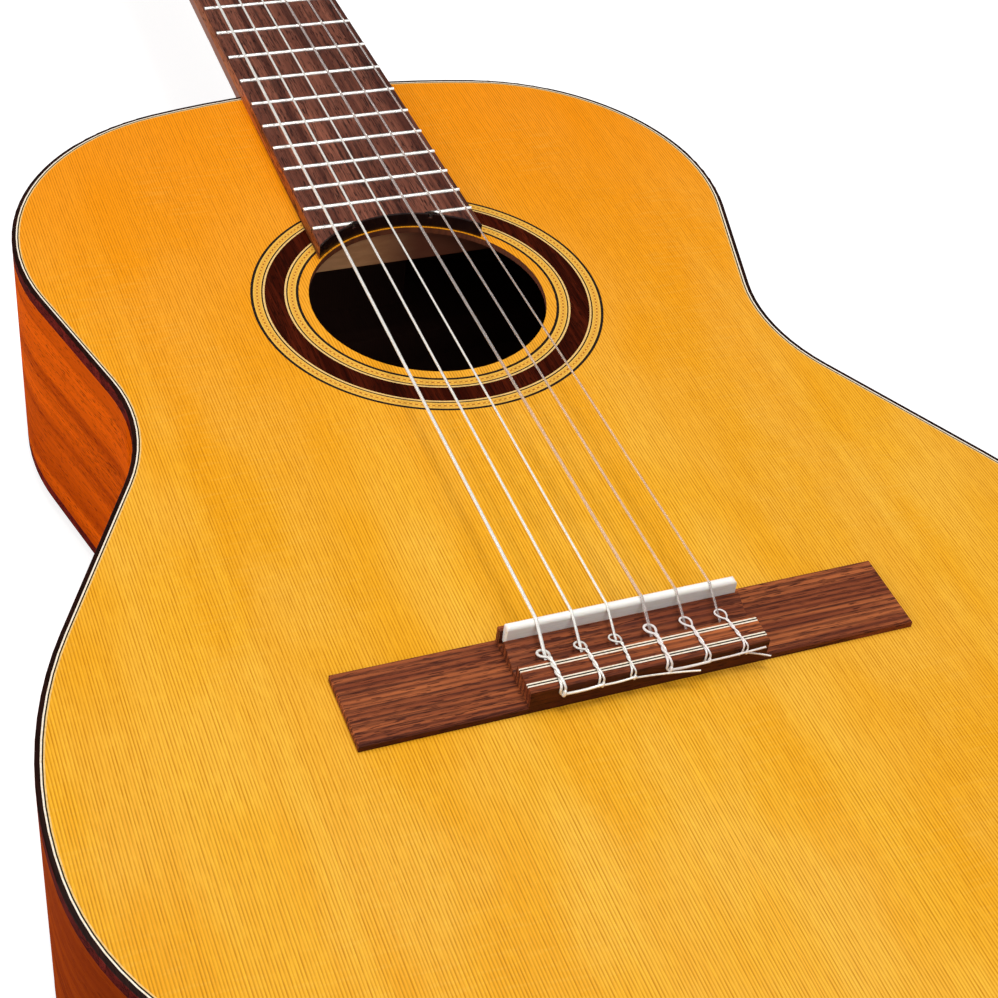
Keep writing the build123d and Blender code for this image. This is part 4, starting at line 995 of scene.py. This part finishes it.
@dataclass
class SoundBox:
    """The soundboard, ribs, back and all that is glued to them."""

    nodes: dict[str, bpy.types.Object]
    hole_zone: float = 50.0 * MM
    box_middle_y: float = -0.093
    facing_limit: float = 0.5
    purfling_edges: tuple[float, ...] = (0.5 * MM, 0.95 * MM)
    binding_tree: Optional[BVHTree] = None

    def dress_parts(self) -> None:
        """Put every finish of the box in place."""
        nodes = self.nodes
        dress_by(nodes["soundboard"], [AMBER_SPRUCE, BARE_SPRUCE, HOLE_EDGE], self._soundboard_side)
        # the back's and ribs' inner faces get the near-black painted shade
        dress_by(nodes["back"], [BACK_MAHOGANY, INTERIOR_SHADE], self._inside_back)
        dress_by(nodes["sides"], [RIB_MAHOGANY, INTERIOR_SHADE], self._inside_rib)
        dress(nodes["centre_and_tail_strips"], BINDING_ROSEWOOD)
        dress_by(nodes["top_binding"], [BINDING_ROSEWOOD, BINDING_TOP_SHADE], self._binding_side)
        dress(nodes["back_binding"], BINDING_ROSEWOOD)
        dress_by(nodes["purfling"], [WHITE_VENEER, BLACK_VENEER, CREAM_VENEER], self._purfling_line)
        # the linings, blocks and back braces inside the box get the near-black painted shade
        for name in ("linings", "end_blocks", "back_braces"):
            dress(nodes[name], INTERIOR_SHADE)
        dress(nodes["harmonic_bars"], BAR_SPRUCE)
        dress(nodes["fan_braces"], BARE_SPRUCE)
        LOG.info("sound box dressed")

    def _soundboard_side(self, face: Face) -> int:
        """Bare wood on the soundboard's inner face, and stain on the wall of the soundhole.

        Args:
            face: The face.

        Returns:
            The slot's number.
        """
        if face.normal.z < -self.facing_limit:
            return 1
        upright = abs(face.normal.z) < self.facing_limit
        return 2 if upright and math.hypot(face.center.x, face.center.y) < self.hole_zone else 0

    def _binding_side(self, face: Face) -> int:
        """A darker copy of the binding's rosewood on the faces that look up, as painted shade."""
        return 1 if face.normal.z > self.facing_limit else 0

    def _inside_back(self, face: Face) -> int:
        """Near-black painted shade on the back's inner face."""
        return 1 if face.normal.z > self.facing_limit else 0

    def _inside_rib(self, face: Face) -> int:
        """Near-black painted shade on the ribs' inner faces."""
        outward = face.normal.x * face.center.x + face.normal.y * (face.center.y - self.box_middle_y)
        return 0 if outward > 0.0 else 1

    def _purfling_line(self, face: Face) -> int:
        """Which of the three lines a face belongs to, told from how far it lies inside the binding.

        Args:
            face: The face.

        Returns:
            The slot's number.
        """
        if self.binding_tree is None:
            binding = self.nodes["top_binding"].data
            corners = [vertex.co for vertex in binding.vertices]
            self.binding_tree = BVHTree.FromPolygons(corners, [face.vertices[:] for face in binding.polygons])
        inset = self.binding_tree.find_nearest(face.center)[3]
        return sum(1 for edge in self.purfling_edges if inset > edge)


@dataclass
class Rosette:
    """The inlaid rings round the soundhole."""

    node: bpy.types.Object
    inner_radius: float = 47.9 * MM
    ring_widths: tuple[float, ...] = (1.0, 3.0, 0.5, 0.7, 7.2, 0.7, 0.5, 3.0, 1.0)

    def dress_parts(self) -> None:
        """Give each ring its veneer, rosewood or mosaic."""
        finishes = [BLACK_VENEER, INNER_MOSAIC, CREAM_VENEER, ROSETTE_ROSEWOOD, OUTER_MOSAIC]
        order = [0, 1, 0, 2, 3, 2, 0, 4, 0]
        edges = [self.inner_radius]
        for width in self.ring_widths:
            edges.append(edges[-1] + width * MM)

        def choose(face: Face) -> int:
            """Find the finish of the ring that a face lies in.

            Args:
                face: The face.

            Returns:
                The slot's number.
            """
            radius = math.hypot(face.center.x, face.center.y)
            ring = sum(1 for edge in edges[1:-1] if radius > edge)
            return order[ring]

        dress_by(self.node, finishes, choose)
        LOG.info("rosette dressed with %d rings", len(order))


@dataclass
class Neck:
    """The neck with its fingerboard, frets, nut, veneer and heel cap."""

    nodes: dict[str, bpy.types.Object]
    side_limit: float = 0.9
    end_zone: float = 70.0 * MM

    def dress_parts(self) -> None:
        """Put the neck's finishes in place."""
        finishes = {"neck": NECK_MAHOGANY, "heel_cap": BINDING_ROSEWOOD, "frets": FRET_WIRE,
                    "nut": POLISHED_BONE, "head_veneer": VENEER_ROSEWOOD}
        for name, finish in finishes.items():
            dress(self.nodes[name], finish)
        dress_by(self.nodes["fingerboard"], [FINGERBOARD_ROSEWOOD, FINGERBOARD_SIDE_REFLECTION, FINGERBOARD_END_SHADE],
                 self._fingerboard_side)
        LOG.info("neck dressed")

    def _fingerboard_side(self, face: Face) -> int:
        """Painted reflection of the orange soundboard on the long edges, and painted shade on the wall over
        the soundhole.

        Args:
            face: The face.

        Returns:
            The slot's number.
        """
        reach = math.hypot(face.center.x, face.center.y)
        # the end wall facing the tail takes the painted shade
        if abs(face.normal.z) < self.side_limit and face.normal.y < 0.0 and reach < self.end_zone:
            return 2
        # the long edges take the painted reflection of the soundboard
        return 1 if abs(face.normal.x) > self.side_limit else 0


@dataclass
class TuningMachines:
    """The plates, screws, worms, gears, rollers and buttons on the head."""

    nodes: dict[str, bpy.types.Object]
    count: int = 6

    def dress_parts(self) -> None:
        """Put the machines' finishes in place."""
        dress(self.nodes["tuner_plates"], BRASS_PLATE)
        dress(self.nodes["tuner_screws"], TURNED_STEEL)
        for number in range(1, self.count + 1):
            dress(self.nodes[f"button_{number}"], PEARL_PLASTIC)
            dress(self.nodes[f"worm_{number}"], TURNED_STEEL)
            dress(self.nodes[f"gear_{number}"], CUT_BRASS)
            dress(self.nodes[f"roller_{number}"], WHITE_PLASTIC)
        LOG.info("%d tuning machines dressed", self.count)


@dataclass
class StringTie:
    """One string's loop, twist, knot and tail on the tie block."""

    number: int
    x: float
    ring_x: float
    knot_x: float
    radius: float
    front_y: float
    rear_y: float
    top_z: float
    hole_z: float
    tail_reach: float
    tail_drop: float
    tail_back: float
    finish: Finish
    twist_turns: float = 1.5
    eye_width: float = 3.4 * MM
    eye_reach: float = 5.2 * MM
    eye_drop: float = 1.9 * MM
    steps_a_turn: int = 8
    eye_steps: int = 14
    hook_steps: int = 10
    hook_turns: float = 0.9
    tail_steps: int = 6
    tail_sag: float = 0.35 * MM
    edge_gap: float = 0.7 * MM

    def build(self) -> bpy.types.Object:
        """Make the tie as round strands.

        Returns:
            The tie, riding on the body that holds the bridge.
        """
        curve = bpy.data.curves.new(f"tie_{self.number}", "CURVE")
        curve.dimensions = "3D"
        curve.bevel_depth = self.radius
        curve.bevel_resolution = 3
        curve.resolution_u = 3
        curve.use_fill_caps = True
        for points in (self._strand(), self._hook(), self._tail()):
            spline = curve.splines.new("NURBS")
            spline.points.add(len(points) - 1)
            for target, point in zip(spline.points, points):
                target.co = (*point, 1.0)
            spline.order_u = 3
            spline.use_endpoint_u = True
        tie = bpy.data.objects.new(f"tie_{self.number}", curve)
        bpy.context.scene.collection.objects.link(tie)
        curve.materials.append(self.finish.material())
        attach(tie, "root")
        LOG.info("%s made", tie.name)
        return tie

    def _strand(self) -> list[Vector]:
        """The run from the rear hole over the block, round the string and back to the rear edge.

        Returns:
            The strand's control points.
        """
        sizes = (self.knot_x, self.rear_y, self.top_z, self.hole_z)
        knot, rear, top, hole = (size / MM for size in sizes)
        r = self.radius / MM
        behind = rear - r - 0.1
        up = [(self.x / MM, rear + 1.0, hole), (self.x / MM, rear - 0.6, hole),
              (knot - 0.9, behind, hole + 1.0), (knot - 0.8, behind, top - 0.4),
              (knot - 0.5, rear + 0.1, top + r)]
        down = [(knot + 0.5, rear + 0.1, top + r), (knot + 0.7, behind, top - 0.4),
                (knot + 0.5, behind - 0.2, top - 1.5), (knot + 0.1, behind - 0.7, top - 2.3)]
        return ([Vector(point) * MM for point in up] + self._twist(math.pi, forwards=True) + self._eye()
                + self._twist(0.0, forwards=False) + [Vector(point) * MM for point in down])

    def _twist(self, phase: float, forwards: bool) -> list[Vector]:
        """One of the two strands that are twisted together on the block.

        Args:
            phase: Where round the pair the strand starts.
            forwards: Whether it runs towards the saddle.

        Returns:
            The twisted stretch's control points.
        """
        steps = int(self.twist_turns * self.steps_a_turn)
        start = Vector((self.knot_x, self.rear_y + 1.2 * MM, self.top_z + 2.0 * self.radius))
        end = Vector((self.ring_x + 0.6 * MM, self.front_y - 0.4 * MM, self.top_z + 2.0 * self.radius))
        points = []
        for step in range(steps + 1):
            share = step / steps
            angle = phase + 2.0 * math.pi * self.twist_turns * share
            swing = Vector((math.cos(angle), 0.0, math.sin(angle))) * (1.02 * self.radius)
            points.append(start.lerp(end, share) + swing)
        return points if forwards else points[::-1]

    def _eye(self) -> list[Vector]:
        """The drop-shaped eye that the string's end makes round the taut string.

        Returns:
            The eye's control points.
        """
        points = []
        for step in range(1, self.eye_steps):
            turn = math.pi * step / self.eye_steps
            ahead = math.sin(turn) ** 2
            side = math.sin(2.0 * turn) * math.sin(turn) * self.eye_width * 0.65
            drop = self.eye_drop * (1.0 - (1.0 - ahead) ** 2)
            x = self.ring_x + 0.6 * MM * (1.0 - ahead) - side
            y = self.front_y + self.eye_reach * ahead
            points.append(Vector((x, y, self.top_z + 1.4 * self.radius - drop)))
        return points

    def _hook(self) -> list[Vector]:
        """The small turn at the rear edge that grips the next string's tail.

        Returns:
            The turn's control points.
        """
        size = 1.5 * self.radius + 0.2 * MM
        centre = Vector((self.knot_x + 0.15 * MM, self.rear_y - self.radius - self.edge_gap,
                         self.top_z - 1.9 * MM))
        points = []
        for step in range(self.hook_steps + 1):
            angle = 2.0 * math.pi * self.hook_turns * step / self.hook_steps
            points.append(centre + Vector((0.3 * size * math.sin(angle), size * math.cos(angle) * 0.55,
                                           size * math.sin(angle))))
        return points

    def _tail(self) -> list[Vector]:
        """The string's end, which lies along the block's rear edge towards the treble side.

        Returns:
            The tail's control points.
        """
        start = Vector((self.knot_x + 0.2 * MM, self.rear_y - self.radius - self.edge_gap,
                        self.top_z - 2.2 * MM))
        points = []
        for step in range(self.tail_steps + 1):
            share = step / self.tail_steps
            sag = math.sin(math.pi * share) * self.tail_sag
            points.append(start + Vector((self.tail_reach * share, -self.tail_back * share * share,
                                          -self.tail_drop * share - sag)))
        return points


@dataclass
class Bridge:
    """The bridge, its saddle and inlays, and the six string ties."""

    nodes: dict[str, bpy.types.Object]
    saddle_line_y: float = -174.6 * MM
    front_offset: float = -14.0 * MM
    rear_offset: float = -25.4 * MM
    top_z: float = 9.0 * MM
    hole_z: float = 5.9 * MM
    spacing: float = 11.67 * MM
    diameters: tuple[float, ...] = (1.12, 0.89, 0.76, 1.02, 0.82, 0.71)
    thinning: float = 0.8
    facing_limit: float = 0.7
    bass_count: int = 3
    inlay_fronts: tuple[float, ...] = (15.4, 21.6)
    black_line: tuple[float, float] = (0.5, 1.0)
    eye_offsets: tuple[float, ...] = (-0.7, -0.3, -0.5, -0.6, -0.1, 0.2)
    knot_offsets: tuple[float, ...] = (-0.2, 0.6, -0.7, -0.5, 0.8, 1.9)
    eye_drops: tuple[float, ...] = (2.2, 1.9, 1.9, 1.0, 1.0, 0.9)
    tails: tuple[tuple[float, float, float], ...] = (
        (12.6, -0.4, 0.0), (11.0, -0.5, 0.0), (20.8, 0.2, 2.6), (13.2, -0.3, 0.3), (19.0, -1.2, 0.4),
        (7.6, 1.4, 2.2))

    def dress_parts(self) -> None:
        """Put the bridge's finishes in place."""
        # walls facing the tail take the darker copy as painted shade
        dress_by(self.nodes["bridge"], [BRIDGE_ROSEWOOD, BRIDGE_WALL_SHADE],
                 lambda face: 1 if face.normal.y < -self.facing_limit else 0)
        dress(self.nodes["saddle"], POLISHED_BONE)
        dress_by(self.nodes["tie_block_inlays"], [WHITE_VENEER, BLACK_VENEER], self._inlay_line)
        LOG.info("bridge dressed")

    def _inlay_line(self, face: Face) -> int:
        """White outer lines and a black line between them.

        Args:
            face: The face.

        Returns:
            The slot's number.
        """
        offset = (self.saddle_line_y - face.center.y) / MM
        start, end = self.black_line
        return int(any(front + start < offset < front + end for front in self.inlay_fronts))

    def tie_strings(self) -> None:
        """Tie all six strings, from the lowest to the highest."""
        count = len(self.diameters)
        for index, diameter in enumerate(self.diameters):
            reach, drop, back = self.tails[index]
            x = (index - (count - 1) / 2.0) * self.spacing
            tie = StringTie(
                number=count - index, x=x, ring_x=x + self.eye_offsets[index] * MM,
                knot_x=x + self.knot_offsets[index] * MM, radius=self.thinning * diameter * MM / 2.0,
                front_y=self.saddle_line_y + self.front_offset, rear_y=self.saddle_line_y + self.rear_offset,
                top_z=self.top_z, hole_z=self.hole_z, tail_reach=reach * MM, tail_drop=drop * MM,
                tail_back=back * MM, eye_drop=self.eye_drops[index] * MM,
                finish=SILVER_WINDING if index < self.bass_count else TIED_NYLON)
            tie.build()


@dataclass
class Strings:
    """The six strings and the turns on their rollers."""

    nodes: dict[str, bpy.types.Object]
    nylon_count: int = 3
    count: int = 6

    def dress_parts(self) -> None:
        """Give the trebles nylon and the basses their winding."""
        for number in range(1, self.count + 1):
            finish = CLEAR_NYLON if number <= self.nylon_count else SILVER_WINDING
            dress(self.nodes[f"string_{number}"], finish)
            dress(self.nodes[f"coil_{number}"], finish)
        LOG.info("strings dressed")


# Studio


@dataclass(frozen=True)
class Softbox:
    """A square lamp."""

    name: str
    place: tuple[float, float, float]
    aim: tuple[float, float, float]
    size: float
    power: float

    def build(self) -> None:
        """Hang the lamp."""
        data = bpy.data.lights.new(self.name, "AREA")
        data.shape = "SQUARE"
        data.size = self.size
        data.energy = self.power
        lamp = bpy.data.objects.new(self.name, data)
        lamp.location = self.place
        way = Vector(self.aim) - Vector(self.place)
        lamp.rotation_euler = way.to_track_quat("-Z", "Y").to_euler()
        bpy.context.scene.collection.objects.link(lamp)


@dataclass
class Studio:
    """The pale floor, the soft lamps and the camera."""

    floor_z: float
    floor_size: float = 24.0
    world_strength: float = 0.26
    floor_glow: float = 0.75
    lamps: tuple[Softbox, ...] = (
        Softbox("overhead", (0.05, -0.10, 1.8), (0.0, -0.1, 0.0), 0.5, 13.0),
        Softbox("large_overhead", (0.1, 0.25, 1.9), (0.0, -0.1, 0.0), 1.7, 13.0),
        Softbox("left_fill", (-1.6, 0.1, 0.6), (0.0, 0.0, -0.05), 1.2, 14.0),
        Softbox("front_fill", (0.25, -1.5, 1.1), (0.0, -0.1, 0.0), 1.0, 6.0),
    )
    camera_place: tuple[float, float, float] = (-0.2210, -0.5285, 0.4248)
    camera_right: tuple[float, float, float] = (0.9287, -0.3570, 0.1007)
    camera_up: tuple[float, float, float] = (0.1737, 0.6584, 0.7324)
    lens: float = 68.96
    sensor_width: float = 36.0
    clip_start: float = 0.02

    def build(self) -> None:
        """Set up the whole studio."""
        self._camera()
        self._floor()
        self._world()
        for lamp in self.lamps:
            lamp.build()
        LOG.info("studio set with %d lamps", len(self.lamps))

    def _camera(self) -> None:
        """Stand the camera at the bridge's bass side, looking up the neck."""
        data = bpy.data.cameras.new("camera")
        data.lens = self.lens
        data.sensor_width = self.sensor_width
        data.clip_start = self.clip_start
        camera = bpy.data.objects.new("camera", data)
        right = Vector(self.camera_right).normalized()
        up = Vector(self.camera_up)
        up = (up - right * up.dot(right)).normalized()
        turn = Matrix((right, up, right.cross(up))).transposed()
        camera.matrix_world = Matrix.Translation(self.camera_place) @ turn.to_4x4()
        bpy.context.scene.collection.objects.link(camera)
        bpy.context.scene.camera = camera

    def _floor(self) -> None:
        """Lay the floor under the guitar."""
        half = self.floor_size / 2.0
        mesh = bpy.data.meshes.new("floor")
        corners = [(-half, -half, 0.0), (half, -half, 0.0), (half, half, 0.0), (-half, half, 0.0)]
        mesh.from_pydata(corners, [], [(0, 1, 2, 3)])
        floor = bpy.data.objects.new("floor", mesh)
        floor.location.z = self.floor_z
        material = bpy.data.materials.new("pale_floor")
        material.use_nodes = True
        shader = material.node_tree.nodes["Principled BSDF"].inputs
        shader["Base Color"].default_value = (0.5, 0.5, 0.5, 1.0)
        shader["Roughness"].default_value = 0.9
        shader["Specular IOR Level"].default_value = 0.0
        shader["Emission Color"].default_value = (1.0, 1.0, 1.0, 1.0)
        graph = Graph(material.node_tree)
        seen = graph.add("LightPath").outputs["Is Camera Ray"]
        graph.feed(shader["Emission Strength"], graph.times(seen, self.floor_glow))
        mesh.materials.append(material)
        bpy.context.scene.collection.objects.link(floor)
        floor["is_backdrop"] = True

    def _world(self) -> None:
        """Fill the room with even light."""
        world = bpy.data.worlds.new("studio")
        world.use_nodes = True
        background = world.node_tree.nodes["Background"]
        background.inputs["Color"].default_value = (1.0, 1.0, 1.0, 1.0)
        background.inputs["Strength"].default_value = self.world_strength
        bpy.context.scene.world = world
        bpy.context.scene.view_settings.view_transform = "Standard"


def main() -> None:
    """Build the looks of the guitar around the frame."""
    logging.basicConfig(level=logging.INFO, format="%(name)s: %(message)s")
    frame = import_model()
    cad_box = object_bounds()
    nodes = frame["nodes"]
    Studio(floor_z=cad_box[0][2]).build()
    SoundBox(nodes).dress_parts()
    Rosette(nodes["rosette"]).dress_parts()
    Neck(nodes).dress_parts()
    TuningMachines(nodes).dress_parts()
    Strings(nodes).dress_parts()
    bridge = Bridge(nodes)
    bridge.dress_parts()
    bridge.tie_strings()


if __name__ == "__main__":
    main()
